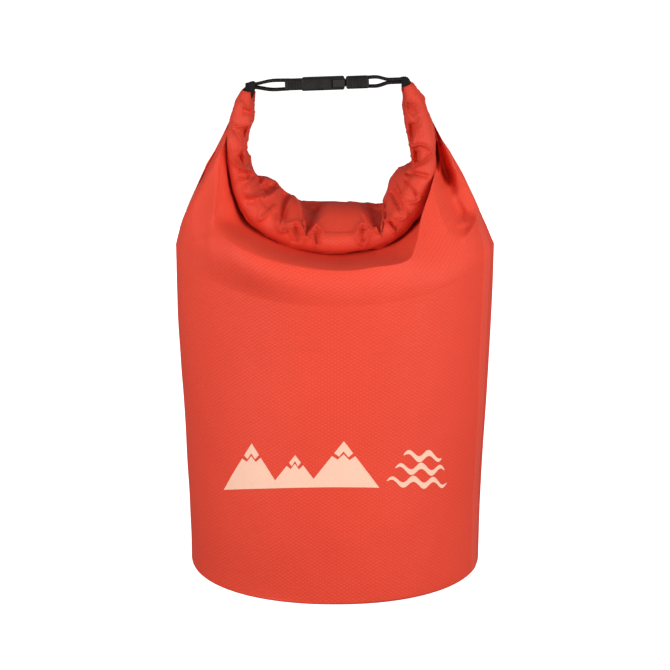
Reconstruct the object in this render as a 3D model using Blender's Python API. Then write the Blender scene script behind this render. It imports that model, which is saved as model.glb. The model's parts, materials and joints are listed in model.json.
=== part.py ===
"""Roll-top dry bag, rolled shut, bent up and buckled into its carrying loop.

The bag stands on its round base: +Z is up, the front faces -Y, and the origin is the
centre of the base.  The fabric tube narrows above the shoulders into a slit, and the
flattened mouth above the slit is rolled forward.  The roll lies across the top as a U
whose two ears carry the halves of a side-release buckle.
"""

import math

import bmesh
import bpy
from mathutils import Euler, Matrix, Vector

MM = 0.001

# Fabric tube
TUBE_RADIUS = 100 * MM
WALL = 1.2 * MM
FOOT_RADIUS = 6 * MM
SHOULDER_HEIGHT = 222 * MM
SHOULDER_HALF_WIDTH = 107 * MM
SHOULDER_HALF_DEPTH = 93 * MM
FRONT_RIM_DROP = 5 * MM
TUBE_SIDES = 48
BARREL_ROWS = 5
TOP_ROWS = 6

# Base
BASE_RADIUS = 93.6 * MM
BASE_THICKNESS = 1.5 * MM
TAPE_WIDTH = 16 * MM
TAPE_THICKNESS = 0.6 * MM
TAPE_INSET = 1.2 * MM
SEAM_LOW = 12 * MM
SEAM_HIGH = 210 * MM
GAP = 0.3 * MM

# Handle frame: x runs along the buckle, and z rises through the two ears
HANDLE_ORIGIN = Vector((-3 * MM, 1 * MM, 264 * MM))
HANDLE_LEAN = math.radians(-6)
HANDLE_TILT = math.radians(-2)
HANDLE = Matrix.Translation(HANDLE_ORIGIN) @ Euler((HANDLE_LEAN, HANDLE_TILT, 0)).to_matrix().to_4x4()

# Rolled collar: the centre line of its U is the lower half of an ellipse
U_HALF_WIDTH = 58.5 * MM
U_DEPTH = 28.5 * MM
ROLL_HALF_WIDTH = 26 * MM
ROLL_HALF_THICKNESS = 6.4 * MM
ROLL_CENTRE_Y = -14 * MM
ROLL_TILT = math.radians(10)
EAR_HALF_WIDTH = 19 * MM
EAR_TIP_NARROWER = 1 * MM
EAR_TIP_THINNER = 0.3 * MM
FABRIC_DOUBLE = 1.1 * MM
SPIRAL_PITCH = 1.5 * MM
SPIRAL_TURNS = 2.25
SPIRAL_STEPS = 14
SQUARENESS = 0.55

# Slit in the top of the tube, under the roll
SLIT_OUTSET = 9.5 * MM
SLIT_DROP = 2 * MM
SLIT_HALF_DEPTH = 12 * MM
SLIT_END_HALF_DEPTH = 10 * MM
SLIT_HALF_WIDTH = 91 * MM

# Ears, pivots and straps, in the handle frame
EAR_HEIGHT = 63 * MM
EAR_LEAN_IN = 5.5 * MM
EAR_BULGE = 1.5 * MM
EAR_OUTER_X = 66.4 * MM
GUSSET_HEIGHT = 38 * MM
GUSSET_WALL = 0.8 * MM
PIVOT_X = 65.5 * MM
STRAP_Z = 67 * MM
STRAP_HINGE_X = 53.2 * MM
STRAP_END_OVERHANG = 1.2 * MM
SWIVEL_X = 26.2 * MM

# Webbing
WEBBING_WIDTH = 25 * MM
WEBBING_THICKNESS = 1.3 * MM
STIFFENER_WIDTH = 24 * MM
STIFFENER_THICKNESS = 0.7 * MM
WEBBING_OFFSET = 0.25 * MM
STIFFENER_OFFSET = -1.05 * MM
STRAP_GAP_HEIGHT = 3.6 * MM
STRAP_BOW = 0.9
TACK_X = (49.8 * MM, 52.4 * MM)
TACK_HALF_WIDTH = 9.5 * MM
TACK_THICKNESS = 0.5 * MM
STITCHED = {"left": 5 * MM, "right": 13 * MM}

# Buckle
BUCKLE_HALF_WIDTH = 16.5 * MM
HOUSING_HALF_THICKNESS = 4.3 * MM
FRAME_HALF_THICKNESS = 3.6 * MM
HOUSING_BACK_X = -17 * MM
HOUSING_MOUTH_X = 11.7 * MM
BUCKLE_END_X = 28 * MM
MALE_SHOULDER_X = 12.7 * MM
SLOT_HALF_WIDTH = 13.3 * MM
BAR_RADIUS = 1.7 * MM
CAVITY_HALF_WIDTH = 14.2 * MM
CAVITY_HALF_THICKNESS = 2.8 * MM
NOTCH_X = 3 * MM
LATCH_POCKET_X = (-10 * MM, -4.6 * MM)
LATCH_POCKET_DEPTH = 1.3 * MM
PRONG_ROOT_Y = 11.6 * MM
PRONG_ARM = 1.9 * MM
PRONG_HALF_THICKNESS = 2.4 * MM
PRONG_TIP_X = -10 * MM
HOOK_X = (-8 * MM, -5.1 * MM)
HOOK_HEIGHT = 0.9 * MM
BUTTON_X = (3.9 * MM, 11.9 * MM)
BUTTON_Y = 15.9 * MM
RIB_COUNT = 5
RIB_DEPTH = 0.45 * MM
TONGUE_HALF_WIDTH = 2 * MM


def material(name, colour, roughness, metallic=0.0):
    """A Principled material, made once for each name."""
    made = bpy.data.materials.get(name)
    if made is None:
        made = bpy.data.materials.new(name)
        made.use_nodes = True
        shader = made.node_tree.nodes["Principled BSDF"]
        shader.inputs["Base Color"].default_value = (*colour, 1.0)
        shader.inputs["Roughness"].default_value = roughness
        shader.inputs["Metallic"].default_value = metallic
        made.diffuse_color = (*colour, 1.0)
    return made


def coated_fabric():
    return material("coated_fabric", (0.78, 0.09, 0.05), 0.5)


def base_fabric():
    return material("base_fabric", (0.62, 0.07, 0.04), 0.55)


def seam_tape():
    return material("seam_tape", (0.55, 0.09, 0.06), 0.4)


def black_webbing():
    return material("black_webbing", (0.03, 0.028, 0.027), 0.8)


def black_plastic():
    return material("black_plastic", (0.035, 0.032, 0.03), 0.45)


def clear_stiffener():
    return material("stiffener_plastic", (0.72, 0.72, 0.7), 0.4)


def new_object(name, mesh, stuff, parent=None, location=(0, 0, 0)):
    """One named object, shaded smooth with sharp corners kept."""
    mesh.shade_smooth()
    mesh.set_sharp_from_angle(angle=math.radians(35))
    made = bpy.data.objects.new(name, mesh)
    made.data.materials.append(stuff)
    made.parent = parent
    made.location = location
    bpy.context.scene.collection.objects.link(made)
    return made


def mesh_from(name, points, faces):
    """A mesh from points and faces, with its normals turned to agree."""
    mesh = bpy.data.meshes.new(name)
    mesh.from_pydata(points, [], faces)
    shape = bmesh.new()
    shape.from_mesh(mesh)
    bmesh.ops.recalc_face_normals(shape, faces=shape.faces)
    shape.to_mesh(mesh)
    shape.free()
    return mesh


def strip_faces(rings, around, closed_ring):
    """Quads that join each ring of `around` points to the next."""
    faces = []
    for row in range(rings - 1):
        for i in range(around if closed_ring else around - 1):
            j = (i + 1) % around
            low, high = row * around, (row + 1) * around
            faces.append((low + i, low + j, high + j, high + i))
    return faces


def shell(name, rings, stuff, thickness, parent=None, capped=False):
    """An open sleeve through closed rings of points, given a wall on its inner side."""
    around = len(rings[0])
    points = [p for ring in rings for p in ring]
    faces = strip_faces(len(rings), around, True)
    if capped:
        last = (len(rings) - 1) * around
        faces.append(tuple(last + i for i in range(around)))
    made = new_object(name, mesh_from(name, points, faces), stuff, parent)
    wall = made.modifiers.new("wall", "SOLIDIFY")
    wall.thickness = thickness
    wall.offset = -1
    wall.use_even_offset = True
    return made


def smooth_step(low, high, value):
    t = min(1.0, max(0.0, (value - low) / (high - low)))
    return t * t * (3 - 2 * t)


# ---------------------------------------------------------------- the fabric tube


def slit_line(share):
    """The slit in the handle frame: level under each ear, and curved under the roll."""
    half_width = U_HALF_WIDTH + SLIT_OUTSET
    depth = U_DEPTH + SLIT_OUTSET
    arc = math.pi * math.sqrt((half_width**2 + depth**2) / 2)
    level = SLIT_HALF_WIDTH - half_width
    along = share * (arc + 2 * level)
    if along < level:
        return along - SLIT_HALF_WIDTH, -SLIT_DROP
    if along > level + arc:
        return half_width + along - level - arc, -SLIT_DROP
    angle = math.pi * (along - level) / arc
    return -half_width * math.cos(angle), -SLIT_DROP - depth * math.sin(angle)


def barrel_ring(height, half_width, half_depth, drop=0.0):
    ring = []
    for i in range(TUBE_SIDES):
        angle = 2 * math.pi * i / TUBE_SIDES
        front = max(0.0, -math.sin(angle)) ** 2
        ring.append(
            Vector(
                (
                    half_width * math.cos(angle),
                    half_depth * math.sin(angle),
                    height - drop * front,
                )
            )
        )
    return ring


def slit_ring():
    ring = []
    for i in range(TUBE_SIDES):
        turn = i / TUBE_SIDES
        share = 1 - 2 * turn if turn <= 0.5 else 2 * turn - 1
        x, z = slit_line(share)
        side = math.sin(2 * math.pi * turn)
        end = smooth_step(0.35, 0.5, abs(share - 0.5))
        depth = SLIT_HALF_DEPTH + (SLIT_END_HALF_DEPTH - SLIT_HALF_DEPTH) * end
        rounded = min(1.0, abs(side) * 3.2)
        middle = math.sin(math.pi * share)
        y = math.copysign(depth * rounded, side) + 0.2 * ROLL_CENTRE_Y * middle
        ring.append(HANDLE @ Vector((x, y, z)))
    return ring


def body_tube():
    rings = []
    for step in range(4):
        angle = math.radians(30 * step)
        radius = TUBE_RADIUS - FOOT_RADIUS * (1 - math.sin(angle))
        rings.append(barrel_ring(FOOT_RADIUS * (1 - math.cos(angle)), radius, radius))
    for row in range(1, BARREL_ROWS + 1):
        share = row / BARREL_ROWS
        height = FOOT_RADIUS + (SHOULDER_HEIGHT - FOOT_RADIUS) * share
        flat = smooth_step(0.0, 1.0, share)
        rings.append(
            barrel_ring(
                height,
                TUBE_RADIUS + (SHOULDER_HALF_WIDTH - TUBE_RADIUS) * flat,
                TUBE_RADIUS + (SHOULDER_HALF_DEPTH - TUBE_RADIUS) * flat,
                FRONT_RIM_DROP * flat**4,
            )
        )
    rim, slit = rings[-1], slit_ring()
    for row in range(1, TOP_ROWS + 1):
        share = row / TOP_ROWS
        rings.append([a.lerp(b, share) for a, b in zip(rim, slit)])
    return shell("body_tube", rings, coated_fabric(), WALL)


def base_panel():
    points, faces = [], []
    for height in (0.0, BASE_THICKNESS):
        for i in range(TUBE_SIDES):
            angle = 2 * math.pi * i / TUBE_SIDES
            points.append(
                (BASE_RADIUS * math.cos(angle), BASE_RADIUS * math.sin(angle), height)
            )
    faces = strip_faces(2, TUBE_SIDES, True)
    faces.append(tuple(range(TUBE_SIDES)))
    faces.append(tuple(range(TUBE_SIDES, 2 * TUBE_SIDES)))
    return new_object("base_panel", mesh_from("base_panel", points, faces), base_fabric())


def base_seam_tape():
    """A flat ring welded inside over the joint of the base and the tube."""
    outer = BASE_RADIUS - TAPE_INSET
    low = BASE_THICKNESS + GAP
    profile = (
        (outer, low),
        (outer, low + TAPE_THICKNESS),
        (outer - TAPE_WIDTH, low + TAPE_THICKNESS),
        (outer - TAPE_WIDTH, low),
    )
    points = []
    for i in range(TUBE_SIDES):
        angle = 2 * math.pi * i / TUBE_SIDES
        points += [(r * math.cos(angle), r * math.sin(angle), z) for r, z in profile]
    around = len(profile)
    faces = []
    for i in range(TUBE_SIDES):
        here, there = i * around, (i + 1) % TUBE_SIDES * around
        for k in range(around):
            n = (k + 1) % around
            faces.append((here + k, here + n, there + n, there + k))
    mesh = mesh_from("base_seam_tape", points, faces)
    return new_object("base_seam_tape", mesh, seam_tape())


def side_seam_tape():
    """A strip welded inside over the tube's upright seam, on the right."""
    half_angle = TAPE_WIDTH / 2 / TUBE_RADIUS
    columns, rows = 5, 5
    points, faces = [], []
    nearest = WALL + TAPE_INSET
    for depth in (nearest, nearest + TAPE_THICKNESS):
        for row in range(rows):
            for column in range(columns):
                angle = half_angle * (2 * column / (columns - 1) - 1)
                radius = TUBE_RADIUS - depth
                height = SEAM_LOW + (SEAM_HIGH - SEAM_LOW) * row / (rows - 1)
                points.append((radius * math.cos(angle), radius * math.sin(angle), height))
    layer = rows * columns
    for side in (0, layer):
        for row in range(rows - 1):
            for column in range(columns - 1):
                a = side + row * columns + column
                faces.append((a, a + 1, a + columns + 1, a + columns))
    rim = [column for column in range(columns)]
    rim += [row * columns + columns - 1 for row in range(1, rows)]
    rim += [(rows - 1) * columns + column for column in range(columns - 2, -1, -1)]
    rim += [row * columns for row in range(rows - 2, 0, -1)]
    for k, a in enumerate(rim):
        b = rim[(k + 1) % len(rim)]
        faces.append((a, b, b + layer, a + layer))
    mesh = mesh_from("side_seam_tape", points, faces)
    return new_object("side_seam_tape", mesh, seam_tape())


def ear_gusset(name, side, handle):
    """The fold of tube fabric between a shoulder and the outside of its ear."""
    inner = EAR_OUTER_X + GAP
    outer = (SLIT_HALF_WIDTH + 1 * MM, 84 * MM, 76 * MM, 70 * MM)
    depth = (10.0 * MM, 9.4 * MM, 8.4 * MM, 7.0 * MM)
    around, rows = 20, len(outer)
    rings = []
    for row in range(rows):
        height = GAP + GUSSET_HEIGHT * row / (rows - 1)
        centre, half = (outer[row] + inner) / 2, (outer[row] - inner) / 2
        ring = []
        for i in range(around):
            angle = 2 * math.pi * i / around
            x, y = centre + half * math.cos(angle), depth[row] * math.sin(angle)
            ring.append(Vector((side * x, y, height)))
        rings.append(ring)
    return shell(name, rings, coated_fabric(), GUSSET_WALL, handle, capped=True)


# ---------------------------------------------------------------- the rolled collar


def spiral_section(half_width, half_thickness):
    """Outer and inner edge of the doubled fabric, rolled as a flat spiral."""
    outer, inner = [], []
    for i in range(round(SPIRAL_TURNS * SPIRAL_STEPS) + 1):
        turn = i / SPIRAL_STEPS
        angle = math.pi / 2 - 2 * math.pi * turn
        shrink = SPIRAL_PITCH * turn
        c, s = math.cos(angle), math.sin(angle)
        unit_w = math.copysign(abs(c) ** SQUARENESS, c)
        unit_n = math.copysign(abs(s) ** SQUARENESS, s)
        for line, more in ((outer, 0.0), (inner, FABRIC_DOUBLE)):
            line.append(
                (
                    (half_width - shrink - more) * unit_w,
                    (half_thickness - shrink - more) * unit_n,
                )
            )
    return outer + inner[::-1]


def strip_section(half_width, thickness, offset):
    """A flat strip's outline, as points (across, through)."""
    low, high = offset - thickness / 2, offset + thickness / 2
    steps = 4
    across = [half_width * (2 * k / steps - 1) for k in range(steps + 1)]
    return [(w, high) for w in across] + [(w, low) for w in across[::-1]]


def swept(name, stations, section_at, stuff, parent=None, location=(0, 0, 0)):
    """A solid whose section, a strip folded from two edges, follows the stations."""
    rings = [
        [centre + across * w + through * n for w, n in section_at(share)]
        for share, centre, across, through in stations
    ]
    around = len(rings[0])
    half = around // 2
    origin = Vector(location)
    points = [p - origin for ring in rings for p in ring]
    faces = strip_faces(len(rings), around, True)
    for start in (0, (len(rings) - 1) * around):
        for k in range(half - 1):
            a, b = start + k, start + around - 1 - k
            faces.append((a, a + 1, b - 1, b))
    return new_object(name, mesh_from(name, points, faces), stuff, parent, location)


def centre_stations(count=15):
    """Places along the U between the two ears, each with its own section axes."""
    stations = []
    for i in range(count):
        angle = math.pi * i / (count - 1)
        middle = math.sin(angle)
        x = -U_HALF_WIDTH * math.cos(angle)
        z = -GAP - U_DEPTH * middle
        along = Vector((U_HALF_WIDTH * math.sin(angle), 0, -U_DEPTH * math.cos(angle)))
        along.normalize()
        spin = Matrix.Rotation(ROLL_TILT * middle**2, 3, along)
        across = spin @ Vector((0, 1, 0))
        through = along.cross(across)
        y = ROLL_CENTRE_Y * middle**1.5
        stations.append((middle, Vector((x, y, z)), across, through))
    return stations


def ear_stations(side, low=0.0, high=1.0, count=5):
    """Places up an ear, in the handle frame."""
    stations = []
    for i in range(count):
        share = low + (high - low) * i / (count - 1)
        height = 0.5 * MM + EAR_HEIGHT * share
        bulge = math.sin(math.pi * share)
        x = U_HALF_WIDTH - EAR_LEAN_IN * share**1.6 + EAR_BULGE * bulge
        centre = Vector((side * x, 0, height))
        stations.append((share, centre, Vector((0, 1, 0)), Vector((side, 0, 0))))
    return stations


def centre_section(share):
    wide = EAR_HALF_WIDTH + (ROLL_HALF_WIDTH - EAR_HALF_WIDTH) * share
    return spiral_section(wide, ROLL_HALF_THICKNESS)


def ear_section(share):
    wide = EAR_HALF_WIDTH - EAR_TIP_NARROWER * share
    return spiral_section(wide, ROLL_HALF_THICKNESS - EAR_TIP_THINNER * share)


def webbing_section(share):
    return strip_section(WEBBING_WIDTH / 2, WEBBING_THICKNESS, WEBBING_OFFSET)


def stiffener_section(share):
    return strip_section(STIFFENER_WIDTH / 2, STIFFENER_THICKNESS, STIFFENER_OFFSET)


def rolled_collar(handle):
    """The roll in three parts, with the webbing and the stiffener that it is rolled on."""
    swept("roll_centre", centre_stations(), centre_section, coated_fabric(), handle)
    swept("mouth_webbing_centre", centre_stations(11), webbing_section, black_webbing(), handle)
    swept("stiffener_centre", centre_stations(11), stiffener_section, clear_stiffener(), handle)
    for name, side in (("left", -1), ("right", 1)):
        pivot = Vector((side * PIVOT_X, 0, 0))
        parts = (
            ("roll", ear_stations(side), ear_section, coated_fabric()),
            ("mouth_webbing", ear_stations(side, 0.0, 1.02, 4), webbing_section, black_webbing()),
            ("stiffener", ear_stations(side, 0.0, 0.94, 4), stiffener_section, clear_stiffener()),
        )
        for piece, stations, section, stuff in parts:
            swept(f"{piece}_{name}_ear", stations, section, stuff, handle, pivot)


# ---------------------------------------------------------------- straps and buckle


def strap_outline(outward, stitched):
    """One face of a strap loop seen from the front: out from the ear, round the bar, back.

    It is drawn for the left side with the bar at the origin and x towards the buckle.
    """
    reach = STRAP_HINGE_X + STRAP_END_OVERHANG - SWIVEL_X
    thickness = WEBBING_THICKNESS if outward else 0.0
    radius = BAR_RADIUS + 0.45 * MM + thickness
    lift = STRAP_GAP_HEIGHT + thickness
    closed = thickness if outward else 0.12 * MM
    opening = -reach + stitched + (0.0 if outward else 0.8 * MM)
    upper = [(-reach if outward else opening - 0.6 * MM, closed)]
    stations = 8
    for k in range(stations):
        share = k / (stations - 1)
        swell = smooth_step(0.0, 1.0, share)
        height = closed + (radius - closed) * swell
        height += (lift - radius) * math.sin(math.pi * swell) * STRAP_BOW
        upper.append((opening * (1 - share), height))
    turn = [
        (radius * math.sin(math.radians(a)), radius * math.cos(math.radians(a)))
        for a in range(30, 180, 30)
    ]
    return upper + turn + [(x, -z) for x, z in reversed(upper)]


def loop_prism(name, side, stitched, parent, location):
    """The webbing loop: a ring drawn in x and z, as wide as the webbing."""
    outer, inner = strap_outline(True, stitched), strap_outline(False, stitched)
    around = len(outer)
    points, faces = [], []
    bar = Vector((side * (SWIVEL_X), 0, STRAP_Z)) - Vector(location)
    for y in (-WEBBING_WIDTH / 2, WEBBING_WIDTH / 2):
        for line in (outer, inner):
            points += [bar + Vector((-side * x, y, z)) for x, z in line]
    for k in range(around):
        n = (k + 1) % around
        for a, b in ((0, 2 * around), (around, 3 * around)):
            faces.append((a + k, a + n, b + n, b + k))
        for a in (0, 2 * around):
            faces.append((a + k, a + n, a + around + n, a + around + k))
    mesh = mesh_from(name, points, faces)
    return new_object(name, mesh, black_webbing(), parent, location)


def box_mesh(name, low, high, location, bevel=0.0, segments=2):
    """A block between two corners given in the handle frame, with rounded edges."""
    shape = bmesh.new()
    bmesh.ops.create_cube(shape, size=1.0)
    low, high = Vector(low), Vector(high)
    for vertex in shape.verts:
        vertex.co = Vector(
            low[k] + (high[k] - low[k]) * (vertex.co[k] + 0.5) for k in range(3)
        ) - Vector(location)
    if bevel:
        bmesh.ops.bevel(
            shape,
            geom=shape.edges[:],
            offset=bevel,
            segments=segments,
            affect="EDGES",
            profile=0.5,
        )
    mesh = bpy.data.meshes.new(name)
    shape.to_mesh(mesh)
    shape.free()
    return mesh


def helper(name, mesh, parent, location):
    """A hidden block that a Boolean adds or cuts."""
    made = bpy.data.objects.new(name, mesh)
    made.parent = parent
    made.location = location
    made.hide_render = True
    made.display_type = "WIRE"
    bpy.context.scene.collection.objects.link(made)
    return made


def combine(target, tool, operation):
    step = target.modifiers.new(operation.lower(), "BOOLEAN")
    step.operation = operation
    step.solver = "EXACT"
    step.object = tool


def bar_mesh(name, x, z, half_length, location):
    """A round bar across the buckle that the webbing turns about."""
    shape = bmesh.new()
    bmesh.ops.create_cone(
        shape,
        cap_ends=True,
        segments=14,
        radius1=BAR_RADIUS,
        radius2=BAR_RADIUS,
        depth=2 * half_length,
    )
    turn = Matrix.Rotation(math.pi / 2, 4, "X")
    place = Matrix.Translation(Vector((x, 0, z)) - Vector(location))
    bmesh.ops.transform(shape, matrix=place @ turn, verts=shape.verts)
    mesh = bpy.data.meshes.new(name)
    shape.to_mesh(mesh)
    shape.free()
    return mesh


def strap_frame(parent, target, slot_x, location):
    """Cuts the webbing slot from slot_x outwards and puts a round bar across it."""
    wide = SLOT_HALF_WIDTH
    side = math.copysign(1, slot_x)
    beyond = side * (BUCKLE_END_X + 5 * MM)
    low_x, high_x = sorted((slot_x, beyond))
    tall = 2 * HOUSING_HALF_THICKNESS
    cut = box_mesh(
        "slot_cutter",
        (low_x, -wide, STRAP_Z - tall),
        (high_x, wide, STRAP_Z + tall),
        location,
    )
    combine(target, helper("slot_cutter", cut, parent, location), "DIFFERENCE")
    bar = bar_mesh("bar", side * SWIVEL_X, STRAP_Z, wide + 1 * MM, location)
    combine(target, helper("bar_block", bar, parent, location), "UNION")


def buckle_female(handle):
    pivot = Vector((-SWIVEL_X, 0, STRAP_Z))
    half = BUCKLE_HALF_WIDTH
    housing = box_mesh(
        "buckle_female",
        (HOUSING_BACK_X, -half, STRAP_Z - HOUSING_HALF_THICKNESS),
        (HOUSING_MOUTH_X, half, STRAP_Z + HOUSING_HALF_THICKNESS),
        pivot,
        bevel=1.3 * MM,
        segments=3,
    )
    made = new_object("buckle_female", housing, black_plastic(), handle, pivot)
    frame = box_mesh(
        "frame_block",
        (-BUCKLE_END_X, -half + 0.5 * MM, STRAP_Z - FRAME_HALF_THICKNESS),
        (HOUSING_BACK_X + 3 * MM, half - 0.5 * MM, STRAP_Z + FRAME_HALF_THICKNESS),
        pivot,
        bevel=1.1 * MM,
    )
    combine(made, helper("frame_block", frame, handle, pivot), "UNION")
    cavity = box_mesh(
        "cavity",
        (HOUSING_BACK_X + 4 * MM, -CAVITY_HALF_WIDTH, STRAP_Z - CAVITY_HALF_THICKNESS),
        (HOUSING_MOUTH_X + 5 * MM, CAVITY_HALF_WIDTH, STRAP_Z + CAVITY_HALF_THICKNESS),
        pivot,
    )
    combine(made, helper("cavity_cutter", cavity, handle, pivot), "DIFFERENCE")
    notch = box_mesh(
        "notch",
        (NOTCH_X, -half - 5 * MM, STRAP_Z - CAVITY_HALF_THICKNESS + 0.1 * MM),
        (HOUSING_MOUTH_X + 4 * MM, half + 5 * MM, STRAP_Z + CAVITY_HALF_THICKNESS - 0.1 * MM),
        pivot,
    )
    combine(made, helper("notch_cutter", notch, handle, pivot), "DIFFERENCE")
    deep = CAVITY_HALF_WIDTH + LATCH_POCKET_DEPTH
    pocket = box_mesh(
        "latch_pocket",
        (LATCH_POCKET_X[0], -deep, STRAP_Z - CAVITY_HALF_THICKNESS + 0.2 * MM),
        (LATCH_POCKET_X[1], deep, STRAP_Z + CAVITY_HALF_THICKNESS - 0.2 * MM),
        pivot,
    )
    combine(made, helper("pocket_cutter", pocket, handle, pivot), "DIFFERENCE")
    strap_frame(handle, made, HOUSING_BACK_X - 1.6 * MM, pivot)
    return made


def buckle_male(handle):
    pivot = Vector((SWIVEL_X, 0, STRAP_Z))
    half = BUCKLE_HALF_WIDTH
    base = box_mesh(
        "buckle_male",
        (MALE_SHOULDER_X, -half, STRAP_Z - HOUSING_HALF_THICKNESS + 0.3 * MM),
        (BUCKLE_END_X, half, STRAP_Z + HOUSING_HALF_THICKNESS - 0.3 * MM),
        pivot,
        bevel=1.3 * MM,
        segments=3,
    )
    made = new_object("buckle_male", base, black_plastic(), handle, pivot)
    tongue = box_mesh(
        "tongue_block",
        (PRONG_TIP_X, -TONGUE_HALF_WIDTH, STRAP_Z - PRONG_HALF_THICKNESS),
        (MALE_SHOULDER_X + 3 * MM, TONGUE_HALF_WIDTH, STRAP_Z + PRONG_HALF_THICKNESS),
        pivot,
        bevel=0.5 * MM,
        segments=1,
    )
    combine(made, helper("tongue_block", tongue, handle, pivot), "UNION")
    strap_frame(handle, made, MALE_SHOULDER_X + 5.6 * MM, pivot)
    return made


def prong(name, side, handle):
    """A sprung arm of the male half: latching hook at its tip, ribbed button by its root."""
    root = Vector((MALE_SHOULDER_X - GAP, side * PRONG_ROOT_Y, STRAP_Z))
    arm_out = PRONG_ROOT_Y + PRONG_ARM / 2
    arm_in = PRONG_ROOT_Y - PRONG_ARM / 2
    hook_y = CAVITY_HALF_WIDTH + HOOK_HEIGHT
    outline = [
        (MALE_SHOULDER_X - GAP, arm_in),
        (PRONG_TIP_X + 1.5 * MM, arm_in - 0.8 * MM),
        (PRONG_TIP_X, arm_in + 0.6 * MM),
        (PRONG_TIP_X + 0.6 * MM, arm_out),
        (HOOK_X[0], hook_y),
        (HOOK_X[1], hook_y),
        (HOOK_X[1], arm_out),
        (BUTTON_X[0], arm_out),
    ]
    for k in range(2 * RIB_COUNT + 1):
        x = BUTTON_X[0] + (BUTTON_X[1] - BUTTON_X[0]) * k / (2 * RIB_COUNT)
        outline.append((x, BUTTON_Y - (RIB_DEPTH if k % 2 else 0.0)))
    outline.append((MALE_SHOULDER_X - GAP, arm_out))
    around = len(outline)
    points = []
    for z in (-PRONG_HALF_THICKNESS, PRONG_HALF_THICKNESS):
        points += [Vector((x, side * y, STRAP_Z + z)) - root for x, y in outline]
    faces = strip_faces(2, around, True)
    faces += [tuple(range(around)), tuple(range(around, 2 * around))]
    return new_object(name, mesh_from(name, points, faces), black_plastic(), handle, root)


def bar_tack(name, side, handle):
    """The block of stitches that closes a strap loop, on top of the webbing."""
    hinge = Vector((side * STRAP_HINGE_X, 0, STRAP_Z))
    top = STRAP_Z + WEBBING_THICKNESS + GAP
    low_x, high_x = sorted(side * x for x in TACK_X)
    mesh = box_mesh(
        name,
        (low_x, -TACK_HALF_WIDTH, top),
        (high_x, TACK_HALF_WIDTH, top + TACK_THICKNESS),
        hinge,
        bevel=0.12 * MM,
        segments=1,
    )
    return new_object(name, mesh, black_webbing(), handle, hinge)


def handle_frame():
    made = bpy.data.objects.new("handle_frame", None)
    made.matrix_world = HANDLE
    bpy.context.scene.collection.objects.link(made)
    return made


def build():
    for old in list(bpy.data.objects):
        bpy.data.objects.remove(old)
    handle = handle_frame()
    body_tube()
    base_panel()
    base_seam_tape()
    side_seam_tape()
    ear_gusset("gusset_left_ear", -1, handle)
    ear_gusset("gusset_right_ear", 1, handle)
    rolled_collar(handle)
    for name, side in (("left", -1), ("right", 1)):
        hinge = Vector((side * STRAP_HINGE_X, 0, STRAP_Z))
        loop_prism(f"strap_loop_{name}", side, STITCHED[name], handle, hinge)
        bar_tack(f"bar_tack_{name}", side, handle)
    buckle_female(handle)
    buckle_male(handle)
    prong("prong_front", -1, handle)
    prong("prong_rear", 1, handle)


build()
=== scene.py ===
"""Looks of the roll-top dry bag: sculpted fabric, webbing, buckle, print, light and camera."""

import json
import math
import random

import bmesh
import bpy
import numpy as np
from mathutils import Matrix, Vector
from mathutils.bvhtree import BVHTree


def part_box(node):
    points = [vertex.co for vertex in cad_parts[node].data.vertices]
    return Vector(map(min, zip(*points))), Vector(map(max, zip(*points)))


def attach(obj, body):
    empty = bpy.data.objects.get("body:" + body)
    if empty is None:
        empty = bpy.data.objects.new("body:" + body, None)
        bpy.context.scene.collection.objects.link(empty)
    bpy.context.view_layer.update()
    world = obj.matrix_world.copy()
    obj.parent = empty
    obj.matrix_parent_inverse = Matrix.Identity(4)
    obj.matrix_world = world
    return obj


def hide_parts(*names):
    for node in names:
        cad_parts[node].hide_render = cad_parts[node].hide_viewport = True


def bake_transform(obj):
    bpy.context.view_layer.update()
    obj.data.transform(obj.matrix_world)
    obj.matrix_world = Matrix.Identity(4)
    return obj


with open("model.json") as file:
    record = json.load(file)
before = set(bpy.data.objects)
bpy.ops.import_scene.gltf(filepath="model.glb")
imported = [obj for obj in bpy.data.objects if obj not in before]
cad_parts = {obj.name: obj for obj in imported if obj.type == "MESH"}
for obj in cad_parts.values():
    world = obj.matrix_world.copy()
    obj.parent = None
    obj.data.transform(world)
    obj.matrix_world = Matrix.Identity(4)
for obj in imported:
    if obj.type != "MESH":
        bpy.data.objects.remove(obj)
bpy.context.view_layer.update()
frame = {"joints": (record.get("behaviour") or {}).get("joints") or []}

MM = 0.001
JOINTS = {joint["name"]: joint for joint in frame["joints"]}

EYE = np.array([0.0, -1.5, 0.531])  # where the camera stands
EYE_AT = EYE / MM  # the same in millimetres
EYE_DOWN = math.radians(13.95)  # how far it looks down
FOCAL_LENGTH = 2253 / 670  # in picture widths
EYE_AHEAD = np.array([0.0, math.cos(EYE_DOWN), -math.sin(EYE_DOWN)])
EYE_UP = np.array([0.0, math.sin(EYE_DOWN), math.cos(EYE_DOWN)])


# -------- places from the frame


def joint_place(name):
    return Vector(JOINTS[name]["pos_m"])


LEFT_PIVOT = joint_place("left_ear_spread")
RIGHT_PIVOT = joint_place("right_ear_spread")
LOOP_ORIGIN = (LEFT_PIVOT + RIGHT_PIVOT) / 2
LOOP_X = (RIGHT_PIVOT - LEFT_PIVOT).normalized()
LOOP_Y = Vector(JOINTS["right_ear_spread"]["axis"]).normalized()
LOOP_Z = LOOP_X.cross(LOOP_Y).normalized()
LOOP = Matrix((LOOP_X, LOOP_Y, LOOP_Z)).transposed().to_4x4()
LOOP.translation = LOOP_ORIGIN
LOOP_AT = np.array(LOOP_ORIGIN) / MM

TUBE_LOW, TUBE_HIGH = (Vector(corner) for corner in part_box("body_tube"))
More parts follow.
